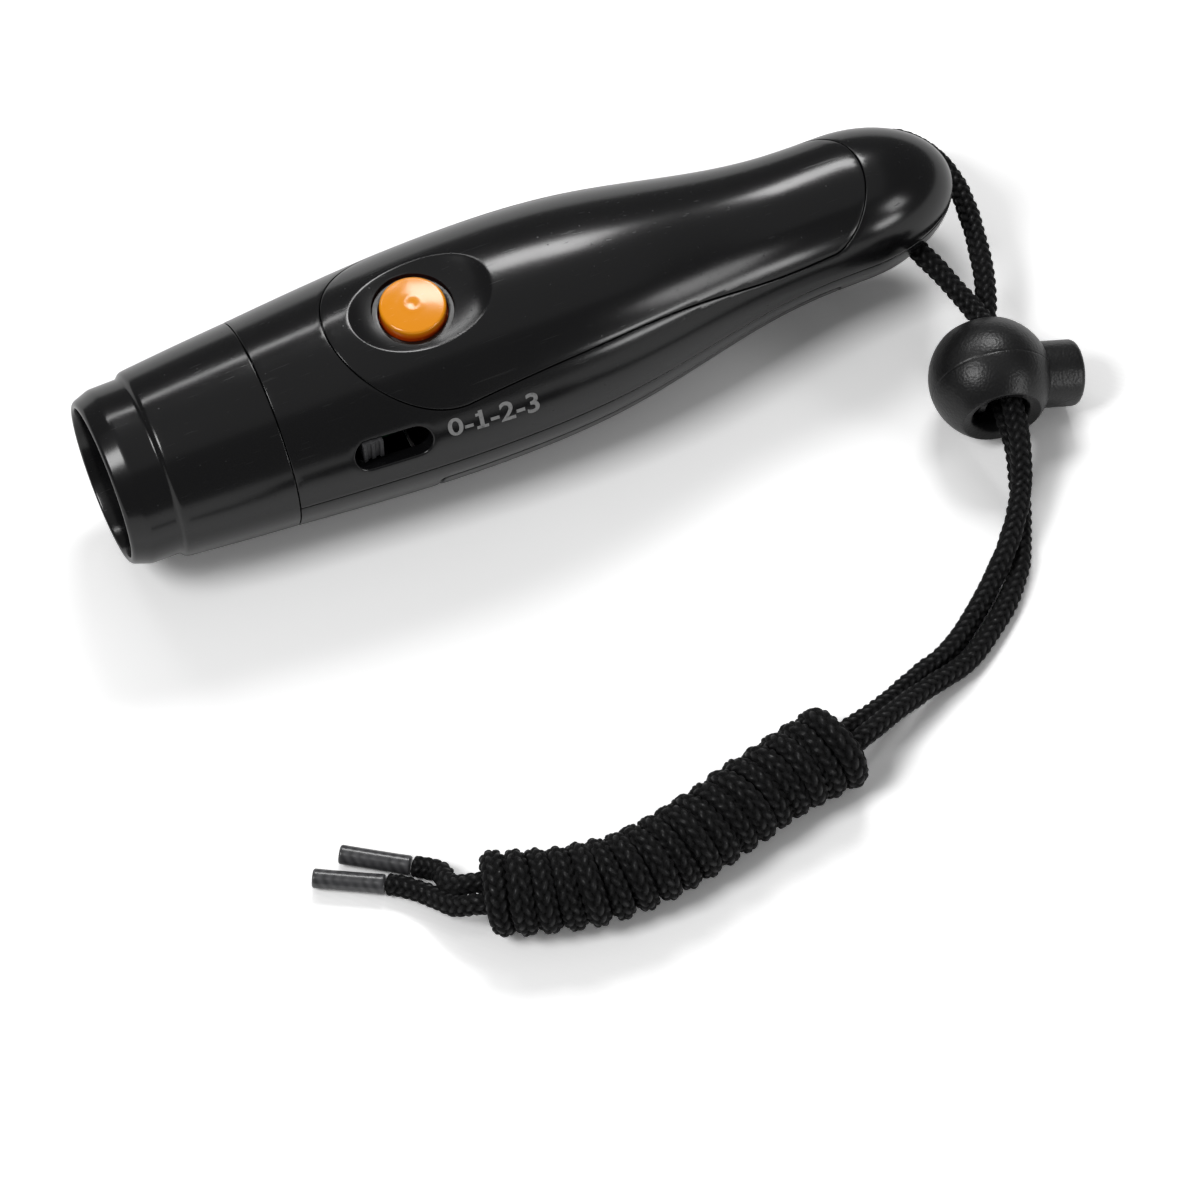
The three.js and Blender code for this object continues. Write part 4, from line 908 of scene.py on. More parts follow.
def addRib(parts, x0, x1, y, thickness, top):
    # upright rib that stands on the inside of the skin and follows it
    stations = np.linspace(x0, x1, 14)
    corners = []
    for x in stations:
        for side, level in ((-1, 0), (1, 0), (1, 1), (-1, 1)):
            across = y + side * thickness / 2
            corners.append((x, across, top if level else -heightAt(x, across) + body["wall"] - 0.5))
    ends = [(3, 2, 1, 0), tuple(len(corners) - 4 + k for k in range(4))]
    parts.append((np.array(corners), ends + ringFaces(len(stations), 4)))


def makeUpperHousing():
    edges = [body["seamEdge"], panel["rimEdge"], switch["slotEdge"]]
    net = patch(halfOutline(0.0), [panelLoop(panel["gap"]), slotLoop()], edges, 0.95)
    parts = [shellFromPatch(net, onBody, innerSkin)]
    # ledge under the panel
    ledge = patch(panelLoop(panel["gap"] + 0.3), [panelLoop(-3.0, 0.8)], [0.05, 0.05], 1.2)
    floorDepth = panel["thickness"] + panel["gap"]
    parts.append(shellFromPatch(
        ledge,
        lambda along, turn, depth: onBody(along, turn, depth + floorDepth),
        lambda along, turn: onBody(along, turn, body["wall"]),
    ))
    for x, y, seatZ in screws["places"]:
        roof = heightAt(x, y) - body["wall"] + 0.4
        addTube(parts, x, y, 0.3, roof, screws["postRadius"], screws["bore"])
    bodyPiece("upperShell", parts, "housing", "shell_black", "upper_housing")


def makeLowerHousing():
    x, z, radius = cordHole["x"], cordHole["z"], cordHole["radius"]
    holes = [
        doorLoop(0.0, 0.0),
        *[circle(fromSide, x, z, radius, far, 48) for far in (False, True)],
        *[circle(fromPlan, x, y, screws["wellBore"], True) for x, y, seatZ in screws["places"]],
    ]
    edges = [body["seamEdge"], door["edge"], *[cordHole["edge"]] * 2, *[screws["edge"]] * 3]
    net = patch(halfOutline(math.pi), holes, edges, 1.0)
    parts = [shellFromPatch(net, onBody, innerSkin)]
    for x, y, seatZ in screws["places"]:
        bore = screws["wellBore"]
        addTube(parts, x, y, -heightAt(x, y) + body["wall"] - 0.5, -0.3, screws["wellRadius"], bore)
        addTube(parts, x, y, seatZ, seatZ + screws["seatHeight"], bore + 0.1, screws["bore"])
    bodyPiece("lowerShell", parts, "housing", "shell_black", "lower_housing")


def makeDoor():
    net = patch(doorLoop(-door["gap"], -door["frontGap"]), [], [door["edge"]], 1.1)
    parts = [shellFromPatch(net, onBody, innerSkin)]
    edge = math.radians(door["edgeAngle"])
    hookZ = -float(radiusAt(door["rearX"])) + body["wall"]
    hookSpan = [hookZ + rise for rise in door["hookRise"]]
    wide = door["hookHalfWidth"]
    for side in (-1, 1):
        y = side * door["ribY"]
        addRib(parts, *door["ribX"], y, door["ribThickness"], door["ribTop"])
        for x in door["clipX"]:
            skin = float(radiusAt(x + door["clipLength"] / 2))
            outer = (skin - body["wall"]) * math.cos(edge) - door["clipInset"]
            topZ = -skin * math.sin(edge) + door["clipRise"]
            spanY = sorted((side * outer, side * (outer - door["clipThickness"])))
            addBlock(parts, (x, x + door["clipLength"]), spanY, (topZ - door["clipTall"], topZ))
        addBlock(parts, door["hookX"], (y - wide, y + wide), hookSpan)
    bodyPiece("doorShell", parts, "battery_door", "shell_black", "battery_door")


makeUpperHousing()
makeLowerHousing()
makeDoor()
print("housing and battery door made")

# top panel with its oval dish
dish = {
    "x": 52.0, "halfLength": 11.5, "halfWidth": 7.8, "depth": 2.5, "depthRadius": 4.0, "rim": 0.07,
    "seatRadius": 6.25, "seatDepth": 0.16, "seatStep": 0.12, "fineGrid": (13.0, 9.2, 0.4),
    "rimCreases": (-0.55, -0.25, -0.1, 0.0, 0.1, 0.25, 0.55), "seatCreases": (-0.1, 0.0, 0.1),
}
button = {
    "x": 51.4, "radius": 5.05, "gap": 0.25, "rise": 2.1, "crown": 0.75, "edge": 0.5,
    "flangeRadius": 6.1, "flange": 1.0, "stem": 1.5, "stemBottomZ": 9.85, "fall": 0.42, "travel": 1.0,
    # the moulding pip in the middle: height, place and spread of its pit and of the ring round it
    "pip": [(-0.07, 0.0, 0.55), (0.03, 1.3, 0.5)],
}
dishFloorZ = float(radiusAt(dish["x"])) - dish["depth"]


def bowlHeight(x, y, lower=0.0):
    middleZ = dishFloorZ + dish["depthRadius"]
    crownZ, sideZ = heightAt(dish["x"], 0), heightAt(dish["x"], dish["halfWidth"])
    spans = []
    for half, meets in ((dish["halfLength"], crownZ), (dish["halfWidth"], sideZ)):
        spans.append(half / math.sqrt(1 - ((middleZ - meets) / dish["depthRadius"]) ** 2))
    reach = ((x - dish["x"]) / spans[0]) ** 2 + (y / spans[1]) ** 2
    inside = np.sqrt(np.clip(1 - reach, 0, 1))
    return np.where(reach < 1, middleZ - dish["depthRadius"] * inside, middleZ + 40 * (reach - 1)) - lower


def softLower(first, second, softness):
    lowest = np.minimum(first, second)
    spread = np.exp(-(first - lowest) / softness) + np.exp(-(second - lowest) / softness)
    return lowest - softness * np.log(spread)


def dishRim(offset):
    # plan of the dish's edge, moved outwards by the offset, as a loop on the unrolled surface
    points = []
    for angle in np.linspace(0, 2 * math.pi, 180, endpoint=False):
        way = np.array([math.cos(angle), math.sin(angle)])
        near, far = 4.0, 14.0
        for _ in range(40):
            reach = (near + far) / 2
            x, y = dish["x"] + way[0] * reach, way[1] * reach
            if bowlHeight(x, y) < heightAt(x, y):
                near = reach
            else:
                far = reach
        points.append((dish["x"] + way[0] * (near + offset), way[1] * (near + offset)))
    loop = evenLoop(points, 0.4)
    return fromPlan(loop[:, 0], loop[:, 1])


def dishHeight(points, lower):
    bowl = bowlHeight(points[:, 0], points[:, 1], lower)
    reach = np.hypot(points[:, 0] - button["x"], points[:, 1])
    step = np.clip((reach - dish["seatRadius"]) / dish["seatStep"] + 0.5, 0, 1)
    seat = dishFloorZ - dish["seatDepth"] - lower
    level = seat + (bowl - seat) * step * step * (3 - 2 * step)
    inner = reach < dish["seatRadius"] + 0.3
    return np.where(inner, np.minimum(level, bowl + 0.05), bowl)


def makePanel():
    hole = circle(fromPlan, button["x"], 0.0, button["radius"] + button["gap"], False)
    halfLength, halfWidth, grid = dish["fineGrid"]
    first, last = alongAt(dish["x"] - halfLength), alongAt(dish["x"] + halfLength)

    def nearDish(points):
        along, across = points[:, 0], points[:, 1]
        return (along > first) & (along < last) & (abs(across) < halfWidth)

    creases = [dishRim(offset) for offset in dish["rimCreases"]]
    for offset in dish["seatCreases"]:
        ring = circle(fromPlan, button["x"], 0.0, dish["seatRadius"] + offset, False)
        creases.append(evenLoop(ring, 0.3))
    outline = panelLoop(panel["gap"] - panel["slit"], 0.35)
    edges = [panel["edge"], panel["holeEdge"]]
    net = patch(outline, [evenLoop(hole, 0.3)], edges, 0.9, (grid, nearDish), creases)

    def outer(along, turn, depth):
        points = onBody(along, turn, depth)
        points[:, 2] = softLower(points[:, 2], dishHeight(points, 0.0) - depth, dish["rim"])
        return points

    def inner(along, turn):
        points = onBody(along, turn, panel["thickness"])
        bowl = bowlHeight(points[:, 0], points[:, 1], panel["thickness"] + 0.2)
        points[:, 2] = softLower(points[:, 2], bowl, dish["rim"])
        return points

    parts = [shellFromPatch(net, outer, inner)]
    bodyPiece("panelShell", parts, "housing", "shell_black", "top_panel", sharpAngle=50.0)


def makeButton():
    topZ = dishFloorZ + button["rise"]
    edgeZ = topZ - button["crown"]
    flangeTop = dishFloorZ - panel["thickness"] - 0.5
    flat = button["radius"] - button["edge"]
    dome = []
    for r in np.linspace(0, flat, 22):
        height = topZ - button["fall"] * (r / button["radius"]) ** 2
        pip = sum(rise * math.exp(-((r - place) / spread) ** 2) for rise, place, spread in button["pip"])
        dome.append((height + pip, r))
    turn = np.radians(np.linspace(80, 0, 9))
    bendZ = topZ - button["fall"] * (flat / button["radius"]) ** 2 - button["edge"]
    bend = [(bendZ + button["edge"] * math.sin(a), flat + button["edge"] * math.cos(a)) for a in turn]
    stem, flange, flangeZ = button["stem"], button["flangeRadius"], flangeTop - button["flange"]
    line = filleted([
        (button["stemBottomZ"], 0), (button["stemBottomZ"], stem, 0.1), (flangeZ, stem, 0.2),
        (flangeZ, flange, 0.1), (flangeTop, flange, 0.1), (flangeTop, button["radius"], 0.1),
        (edgeZ - 0.6, button["radius"]),
    ])
    line = np.vstack([line, np.array(bend[::-1]), np.array(dome[::-1])])
    parts = [lathe(line, 96, "z", (button["x"], 0, 0))]
    bodyPiece("buttonCap", parts, "button", "button_orange", "button_cap", orange, sharpAngle=60.0)


makePanel()
makeButton()
print("panel and button made")


# mode knob: its ribs as places across the slot, each with its height
knobRibs = [
    (-1.6, 0.35), (-1.05, 0.35), (-0.9, 0), (-0.42, 0), (-0.28, 0.26),
    (0.28, 0.26), (0.42, 0), (0.9, 0), (1.05, 0.35), (1.6, 0.35),
]


def makeKnob():
    # outline seen from above, drawn at the knob's lower and upper end
    x, tall, count = switch["knobX"], switch["knobHeight"] / 2, len(knobRibs)
    outerY = switch["setIn"] - heightAt(x, switch["slotZ"])
    plan = [(x + across, outerY + switch["ribHeight"] - height) for across, height in knobRibs]
    plan += [(x + across, outerY + switch["depth"]) for across, height in knobRibs[::-1]]
    points = [(*place, switch["slotZ"] + side * tall) for side in (-1, 1) for place in plan]
    faces = ringFaces(2, len(plan))
    for low in (0, len(plan)):
        high = low + len(plan) - 1
        faces += [(low + i, low + i + 1, high - i - 1, high - i) for i in range(count - 1)]
    piece = outsideOut(toRow(points), faces, "modeKnob", innerBlack)
    soft = piece.modifiers.new("edges", "BEVEL")
    soft.width = switch["knobEdge"] * mm
    soft.segments = 3
    soft.limit_method = "ANGLE"
    piece.data = bakedMesh(piece)
    smoothed(piece.data, 35)
    return dress(piece, "mode_slider", "satin_black", "mode_knob")


makeKnob()
print("mode knob made")

# printed figures beside the switch: they run from one x to the other, between lines given by the turn
# from the top at each end; the bars are the foot and the flag of the 1, in letter heights
figures = {
    "text": "0-1-2-3", "x": (49.9, 64.4), "topTurn": (61.0, 62.7), "baseTurn": (71.0, 74.4),
    "rise": 0.03, "thicker": 0.016, "halfDepth": 0.5, "cuts": (44, 10),
    "bars": [((0.89, 1.26), (-0.016, 0.10)), ((0.91, 1.03), (0.50, 0.61))],
}


def makeFigures():
    curve = bpy.data.curves.new("figures", "FONT")
    curve.body = figures["text"]
    curve.size = 1.0
    curve.resolution_u = 6
    curve.offset = figures["thicker"]
    curve.extrude = figures["halfDepth"]
    drawn = newObject("figures", curve)
    mesh = bakedMesh(drawn)
    bpy.data.objects.remove(drawn)
    shaped = bmesh.new()
    shaped.from_mesh(mesh)
    for across, up in figures["bars"]:
        corners = boxCorners(across, up, (-figures["halfDepth"], figures["halfDepth"]))
        added = [shaped.verts.new(corner) for corner in corners]
        for face in boxFaces:
            shaped.faces.new([added[i] for i in face])
    low = np.array([v.co for v in shaped.verts]).min(0)
    high = np.array([v.co for v in shaped.verts]).max(0)
    for axis, count in enumerate(figures["cuts"]):
        for place in np.linspace(low[axis], high[axis], count)[1:-1]:
            normal = Vector((axis == 0, axis == 1, 0))
            everything = shaped.verts[:] + shaped.edges[:] + shaped.faces[:]
            bmesh.ops.bisect_plane(shaped, geom=everything, plane_co=normal * place, plane_no=normal)
    bmesh.ops.triangulate(shaped, faces=shaped.faces)
    flat = np.array([v.co for v in shaped.verts])
    share = (flat - low) / (high - low)
    spans = [figures[key] for key in ("x", "topTurn", "baseTurn")]
    x, topTurn, baseTurn = (first + share[:, 0] * (last - first) for first, last in spans)
    turn = np.radians(baseTurn + share[:, 1] * (topTurn - baseTurn))
    depth = np.where(flat[:, 2] > 0, -figures["rise"], figures["rise"])
    points = toRow(onBody(alongAt(x), turn, depth))
    for vert, point in zip(shaped.verts, points):
        vert.co = Vector(point)
    bmesh.ops.recalc_face_normals(shaped, faces=shaped.faces)
    shaped.to_mesh(mesh)
    shaped.free()
    coat(mesh, greyPrint)
    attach(newObject("switchFigures", mesh), "housing")


makeFigures()
print("figures printed")

# cords: points in mm in whistle axes, with heights from the floor; the fourth number of the pair's route
# is the angle in degrees at which the near strand lies beside the far one
lanyard = {
    "diameter": 3.25,
    "pairSpacing": 3.5,
    "perMillimetre": 4.2,
    "sides": 44,
    "nearStart": [
        (131, -0.15, 13.3), (131, -4.2, 13.3), (131.1, -8.6, 13.25), (132.5, -12.6, 12.6),
        (133.7, -16.6, 11.9), (134.9, -20.8, 11.2),
    ],
    "farStart": [
        (131, 0.15, 13.3), (131, 4.2, 13.3), (131.1, 8.8, 13.2), (132.9, 11.9, 12.8),
        (136.3, 12.2, 12.4), (139.7, 9, 12), (141.6, 4.2, 11.7), (142, -0.8, 11.4),
        (141.5, -5.6, 11), (140.6, -10.5, 10.3), (139.4, -15.3, 9.4), (137.4, -20.3, 8.3),
    ],
    "pairRoute": [
        (135.2, -25.4, 9.14, 104), (133.9, -32.5, 9.14, 104), (132.6, -39.5, 9.1, 104),
        (131.9, -43.2, 8.2, 100), (130.9, -46.6, 6.4, 95), (129.6, -49.9, 4.5, 90),
        (127.2, -54.2, 3.5, 75), (124, -59, 2.9, 48), (120.3, -62.9, 2.3, 22),
        (115.4, -66.9, 1.8, 4), (109.6, -70.7, 1.9, -8), (102.9, -73.1, 2.9, -25),
        (96.2, -75.9, 4.6, -38), (89.8, -78.4, 6.1, -30), (84.5, -79.8, 6.5, -15),
        (78, -80.9, 6.6, 0), (70.5, -82.6, 6.6, 0), (63, -84.6, 6.6, 0), (55.2, -86.2, 6.6, 0),
        (47.3, -86.8, 6.6, 0), (39.5, -85.6, 6.6, 0), (32.5, -83.3, 6.6, 0), (27.3, -81.1, 6.5, 0),
    ],
    "nearEnd": [(24.3, -77.2, 4.6), (24, -73.4, 2.5), (22.3, -71.5, 1.66), (20.7, -70.4, 1.66)],
    "farEnd": [(23.7, -80.6, 4.5), (20.8, -75.9, 2.3), (17.7, -72.7, 1.66), (16, -71.7, 1.66)],
    "nearLength": 0.180,
    "farLength": 0.218,
}
# loops of a hand-wound knot differ a little, and the first ones lie over the cord's own end
knot = {
    "from": 13, "loops": 18, "pitch": 3.3, "radius": 4.62, "diameter": 3.72, "steps": 40,
    "perMillimetre": 3.8, "endRoom": 1.6, "uneven": [(0.24, 0.37, 1.0), (0.2, 1.63, 0.0)],
    "lump": (0.35, 11.0), "widths": (1.12, 1.0, 1.04), "startBends": (40, 70), "endBends": (20, 12),
}
stitch = {
    "columns": 8, "pitch": 1.45, "length": 1.08, "width": 0.56, "slant": 40.0, "height": 0.62,
    "proud": 0.10, "wobble": 0.06, "endRounding": 0.5, "fibreWaves": 55.0, "lobeShifts": (7.0, 3.0),
}
fuzz = {"Per Area": 60000.0, "Length": 0.0011, "Thickness": 0.000016, "Bow": 420.0}
fuzzSeed = 11


def catmullRom(points, samples):
    # centripetal Catmull-Rom line through the points, evenly sampled
    points = np.asarray(points, float)
    guide = np.vstack([2 * points[0] - points[1], points, 2 * points[-1] - points[-2]])
    line = []
    for i in range(1, len(guide) - 2):
        p0, p1, p2, p3 = guide[i - 1:i + 3]
        t0, t1, t2 = (max(np.linalg.norm(b - a), 1e-6) ** 0.5 for a, b in ((p0, p1), (p1, p2), (p2, p3)))
        out = (p1 - p0) / t0 - (p2 - p0) / (t0 + t1) + (p2 - p1) / t1
        into = (p2 - p1) / t1 - (p3 - p1) / (t1 + t2) + (p3 - p2) / t2
        out, into = out * t1, into * t1
        share = np.linspace(0, 1, 40, endpoint=False)[:, None]
        cube, square = share ** 3, share ** 2
        line.append(
            (2 * cube - 3 * square + 1) * p1 + (cube - 2 * square + share) * out
            + (3 * square - 2 * cube) * p2 + (cube - square) * into
        )
    line = np.vstack(line + [points[-1:]])
    reach = reachAlong(line)
    return pointsAt(np.linspace(0, reach[-1], samples), reach, line), reach[-1]


def carriedFrames(line):
    # directions square to the line, carried along it without twist
    way = unit(np.gradient(line, axis=0))
    across = np.zeros_like(line)
    across[0] = unit(np.cross(way[0], (0, 0, 1.0)))
    for i in range(1, len(line)):
        across[i] = unit(across[i - 1] - way[i] * (across[i - 1] @ way[i]))
    return across, np.cross(way, across)


def stitchField(along, around, radius):
    # braid's stitches: columns of slanted lobes that lean left and right by turns
    columns, pitch = stitch["columns"], stitch["pitch"]
    width = 2 * math.pi * radius / columns
    column = np.floor(around / (2 * math.pi) * columns)
    best, fibre = np.zeros_like(along), np.zeros_like(along)
    slant = math.radians(stitch["slant"])
    waves, (columnShift, rowShift) = stitch["fibreWaves"], stitch["lobeShifts"]
    for shift in (-1, 0, 1):
        k = column + shift
        over = around * radius - (k + 0.5) * width
        parity = np.mod(k, 2)
        lean = np.where(parity == 0, slant, -slant)
        row = np.round(along / pitch - 0.5 * parity)
        for step in (-1, 0, 1):
            ahead = along - (row + step + 0.5 * parity) * pitch
            a = ahead * np.cos(lean) + over * np.sin(lean)
            b = -ahead * np.sin(lean) + over * np.cos(lean)
            reach = 1 - (a / stitch["length"]) ** 2 - (b / stitch["width"]) ** 2
            lobe = np.sqrt(np.clip(reach, 0, 1))
            fibre = np.where(lobe > best, b * waves + k * columnShift + row * rowShift, fibre)
            best = np.maximum(best, lobe)
    return best, fibre


def braidedCord(name, node, line, length, diameter, perMillimetre, widths=None):
    # the first ring is at the line's start, and both ends are closed and rounded
    sides = lanyard["sides"]
    count = int(length * perMillimetre) + 1
    fine = pointsAt(np.linspace(0, 1, count), np.linspace(0, 1, len(line)), line)
    across, over = carriedFrames(fine)
    angle = np.linspace(0, 2 * math.pi, sides, endpoint=False)
    along = np.linspace(0, length, count)[:, None] + 0 * angle
    around = angle[None, :] + 0 * along
    radius = diameter / 2
    base = radius + stitch["proud"] - stitch["height"]
    lift, fibre = stitchField(along, around, radius)
    wobble = np.sin(along * 0.9 + 2 * np.sin(along * 0.21)) * np.cos(2 * around + along * 0.15)
    size = base + stitch["height"] * lift + stitch["wobble"] * wobble
    if widths is not None:
        size = size * np.interp(along, widths[0], widths[1])
    fromEnd = np.clip(np.minimum(along, length - along) / stitch["endRounding"], 0, 1)
    size = size * np.sqrt(np.clip(1 - (1 - fromEnd) ** 2 * 0.7, 0.05, 1))
    ring = size[..., None] * (
        np.cos(around)[..., None] * across[:, None, :] + np.sin(around)[..., None] * over[:, None, :]
    )
    points = (fine[:, None, :] + ring).reshape(-1, 3)
    start, end, last = len(points), len(points) + 1, (count - 1) * sides
    points = np.vstack([points, fine[:1], fine[-1:]])
    faces = ringFaces(count, sides)
    for k in range(sides):
        n = (k + 1) % sides
        faces += [(start, n, k), (end, last + k, last + n)]
    piece = meshPiece(name, floorToRow(points), faces, cordBlack, 180.0)
    # the stitch height also masks the cord's painted shade between stitches and its painted glints on their
    # tops
    for label, values in (("lift", lift), ("fibre", fibre)):
        setAttribute(piece, label, np.concatenate([values.ravel(), [0.0, 0.0]]))
    addFuzz(piece, fuzzSeed + len(name))
    return dress(piece, "housing", "cord_black", node), fine


def fuzzTree():
    # stray fibres scattered over the yarn: three-sided spikes, bowed and leaning along the surface
    tree = bpy.data.node_groups.new("strayFibres", "GeometryNodeTree")
    sockets = [("Geometry", "Geometry"), *[(name, "Float") for name in fuzz], ("Seed", "Int")]
    for name, kind in sockets:
        tree.interface.new_socket(name, in_out="INPUT", socket_type="NodeSocket" + kind)
    tree.interface.new_socket("Geometry", in_out="OUTPUT", socket_type="NodeSocketGeometry")
    given = tree.nodes.new("NodeGroupInput")
    outputs = [Signal(tree, given.outputs[i]) for i in range(len(sockets))]
    yarn, perArea, length, thickness, bow, seed = outputs
    spike = yarn.node(
        "GeometryNodeMeshCone", {"fill_type": "NGON"},
        {"Vertices": 3, "Side Segments": 3, "Radius Top": 0.000004, "Radius Bottom": thickness,
         "Depth": length}, "Mesh",
    )
    up = yarn.node("GeometryNodeInputPosition").part("Z")
    bowed = yarn.node("ShaderNodeCombineXYZ", None, {"X": up * up * bow})
    spike = yarn.node("GeometryNodeSetPosition", None, {"Geometry": spike, "Offset": bowed})
    # the fibres take a high stitch height, so the cord's painted shade leaves them light and its painted
    # glints can fall on them
    spike = yarn.node(
        "GeometryNodeStoreNamedAttribute", {"data_type": "FLOAT", "domain": "POINT"},
        {"Geometry": spike, "Name": "lift", "Value": 0.9},
    )
    scatter = tree.nodes.new("GeometryNodeDistributePointsOnFaces")
    for name, value in (("Mesh", yarn), ("Density", perArea), ("Seed", seed)):
        yarn.feed(scatter.inputs[name], value)
    points, standing = (Signal(tree, scatter.outputs[name]) for name in ("Points", "Rotation"))
    lean = yarn.node(
        "FunctionNodeRandomValue", {"data_type": "FLOAT_VECTOR"},
        {"Min": (-1.2, -1.2, -3.1), "Max": (1.2, 1.2, 3.1), "Seed": seed}, "Value",
    )
    turn = yarn.node(
        "FunctionNodeRotateEuler", {"space": "LOCAL"}, {"Rotation": standing, "Rotate By": lean},
    )
    # sockets 2 and 3 are the least and the greatest number
    size = yarn.node("FunctionNodeRandomValue", {"data_type": "FLOAT"}, {2: 0.35, 3: 1.0, "Seed": seed}, 1)
    spread = yarn.node(
        "GeometryNodeInstanceOnPoints", None,
        {"Points": points, "Instance": spike, "Rotation": turn, "Scale": size},
    )
    joined = tree.nodes.new("GeometryNodeJoinGeometry")
    yarn.feed(joined.inputs["Geometry"], spread)
    yarn.feed(joined.inputs["Geometry"], yarn)
    real = yarn.node("GeometryNodeRealizeInstances", None, {"Geometry": Signal(tree, joined.outputs[0])})
    done = yarn.node("GeometryNodeSetMaterial", None, {"Geometry": real, "Material": cordBlack})
    yarn.node("NodeGroupOutput", None, {0: done}, None)
    return tree


def addFuzz(piece, seed):
    tree = fuzzTree()
    worker = piece.modifiers.new("strayFibres", "NODES")
    worker.node_group = tree
    values = {**fuzz, "Seed": seed}
    for item in tree.interface.items_tree:
        if item.item_type == "SOCKET" and item.in_out == "INPUT" and item.name in values:
            worker[item.identifier] = values[item.name]
    piece.data = bakedMesh(piece)


def pairLine(side):
    route = np.array(lanyard["pairRoute"])
    points = []
    for i, (x, y, z, turn) in enumerate(route):
        before, after = route[max(i - 1, 0)], route[min(i + 1, len(route) - 1)]
        way = unit((after - before)[:2])
        reach = side * lanyard["pairSpacing"] / 2
        aside, up = reach * math.cos(math.radians(turn)), reach * math.sin(math.radians(turn))
        points.append((x + aside * way[1], y - aside * way[0], z + up))
    return points


# film of a tip, along and radius and rounding: slightly waisted, with a rounded end
tip = {
    "corners": [
        (0.0, 0.0), (0.0, 1.35, 0.0), (0.25, 1.52, 0.3), (2.5, 1.46, 1.0), (8.5, 1.45, 1.0),
        (10.55, 1.48, 0.3), (10.8, 1.2, 0.2), (10.75, 0.75, 0.2), (10.4, 0.0),
    ],
    "gap": 0.15, "bandRate": 4.3, "bandSlant": 2.2,
}


def makeTip(name, node, line):
    way = unit(line[-1] - line[-3])
    start = line[-1] + way * tip["gap"]
    shape = filleted(tip["corners"])
    places = np.concatenate([np.linspace(a, b, 6, endpoint=False) for a, b in zip(shape[:-1], shape[1:])])
    places = np.vstack([places, shape[-1:]])
    points, faces = lathe(places, 40, "z")
    basis = np.array(Vector((0, 0, 1)).rotation_difference(Vector(way)).to_matrix())
    around = np.arctan2(points[:, 1], points[:, 0])
    slanted = points[:, 2] * tip["bandRate"] + tip["bandSlant"] * np.sin(around * 2)
    bands = 0.5 + 0.5 * np.sin(slanted)
    piece = meshPiece(name, floorToRow(points @ basis.T + start), faces, smokyTip)
    setAttribute(piece, "bands", bands)
    return dress(piece, "housing", "aglet_clear", node)


def makeStrand(place, side):
    points = lanyard[place + "Start"] + pairLine(side) + lanyard[place + "End"]
    line, reach = catmullRom(points, 1200)
    names = place + "Strand", "lanyard_strand_" + place
    piece, fine = braidedCord(*names, line, reach, lanyard["diameter"], lanyard["perMillimetre"])
    fitting = makeTip(place + "Tip", "aglet_" + place, fine)
    [tuple(p) for p in floorToRow(fine[::6])]
    print(place, f"strand made, {reach:.1f} mm")


def makeKnot():
    core, coreLength = catmullRom([p[:3] for p in lanyard["pairRoute"][knot["from"]:]], 1500)
    wound = knot["loops"] * knot["pitch"]
    begin = coreLength - wound - knot["endRoom"]
    steps = knot["loops"] * knot["steps"]
    share = (begin + wound * np.arange(steps + 1) / steps) / coreLength
    middle = pointsAt(share * (len(core) - 1), np.arange(len(core)), core)
    way = unit(np.gradient(middle, axis=0))
    level = unit(np.stack([way[:, 1], -way[:, 0], 0 * way[:, 0]], -1))
    over = np.cross(level, way)
    turn = np.arange(steps + 1) / knot["steps"] * 2 * math.pi
    coil = knot["radius"]
    for size, rate, phase in knot["uneven"]:
        coil = coil + size * np.sin(turn * rate + phase)
    coil += knot["lump"][0] * np.exp(-(turn / knot["lump"][1]) ** 2)
    line = middle + coil[:, None] * (np.cos(turn)[:, None] * level - np.sin(turn)[:, None] * over)
    line[:, 2] = np.maximum(line[:, 2], knot["diameter"] / 2 + 0.02)
    reach = reachAlong(line)[-1]
    bends = [0, *knot["startBends"], *[reach - bend for bend in knot["endBends"]], reach]
    widths = bends, np.repeat(knot["widths"], 2)
    braidedCord("woundKnot", "lanyard_wrap", line, reach, knot["diameter"], knot["perMillimetre"], widths)
    print(f"knot made, {reach:.1f} mm")


makeStrand("near", 1)
makeStrand("far", -1)
makeKnot()

# cord lock
lock = {
    "centre": (132.5, -32.2, 9.5), "radius": 9.5, "holeTurn": 10.25, "dip": 14.0, "flat": 7.2,
    "holeRadius": 4.2, "seam": -1.2, "seamDepth": 0.07, "seamWidth": 0.11, "bore": 7.5, "boreGap": 0.3,
    "boreMouth": [(7.4, 0), (9.4, 0.7), (12, 3.0)],
    "plungerRadius": 5.15, "plungerEnd": 13.9, "head": 3.0, "travel": 2.4, "holeRoom": 0.25,
}


def lockAxes():
    turn, dip = math.radians(lock["holeTurn"]), math.radians(lock["dip"])
    hole = np.array([math.sin(turn), math.cos(turn), 0])
    plunger = np.array([hole[1] * math.cos(dip), -hole[0] * math.cos(dip), -math.sin(dip)])
    return np.stack([plunger, hole, np.cross(plunger, hole)])


def lockToRow(points):
    return floorToRow(np.asarray(points) @ lockAxes() + lock["centre"])


def lockForm(name, *turned, **options):
    points, faces = lathe(*turned, **options)
    return outsideOut(lockToRow(points), faces, name, satinBlack)


def cutWith(piece, cutter):
    cut = piece.modifiers.new("cut", "BOOLEAN")
    cut.operation = "DIFFERENCE"
    cut.solver = "EXACT"
    cut.object = cutter
    piece.data = bakedMesh(piece)
    bpy.data.objects.remove(cutter)
    smoothed(piece.data, 24)
    return piece


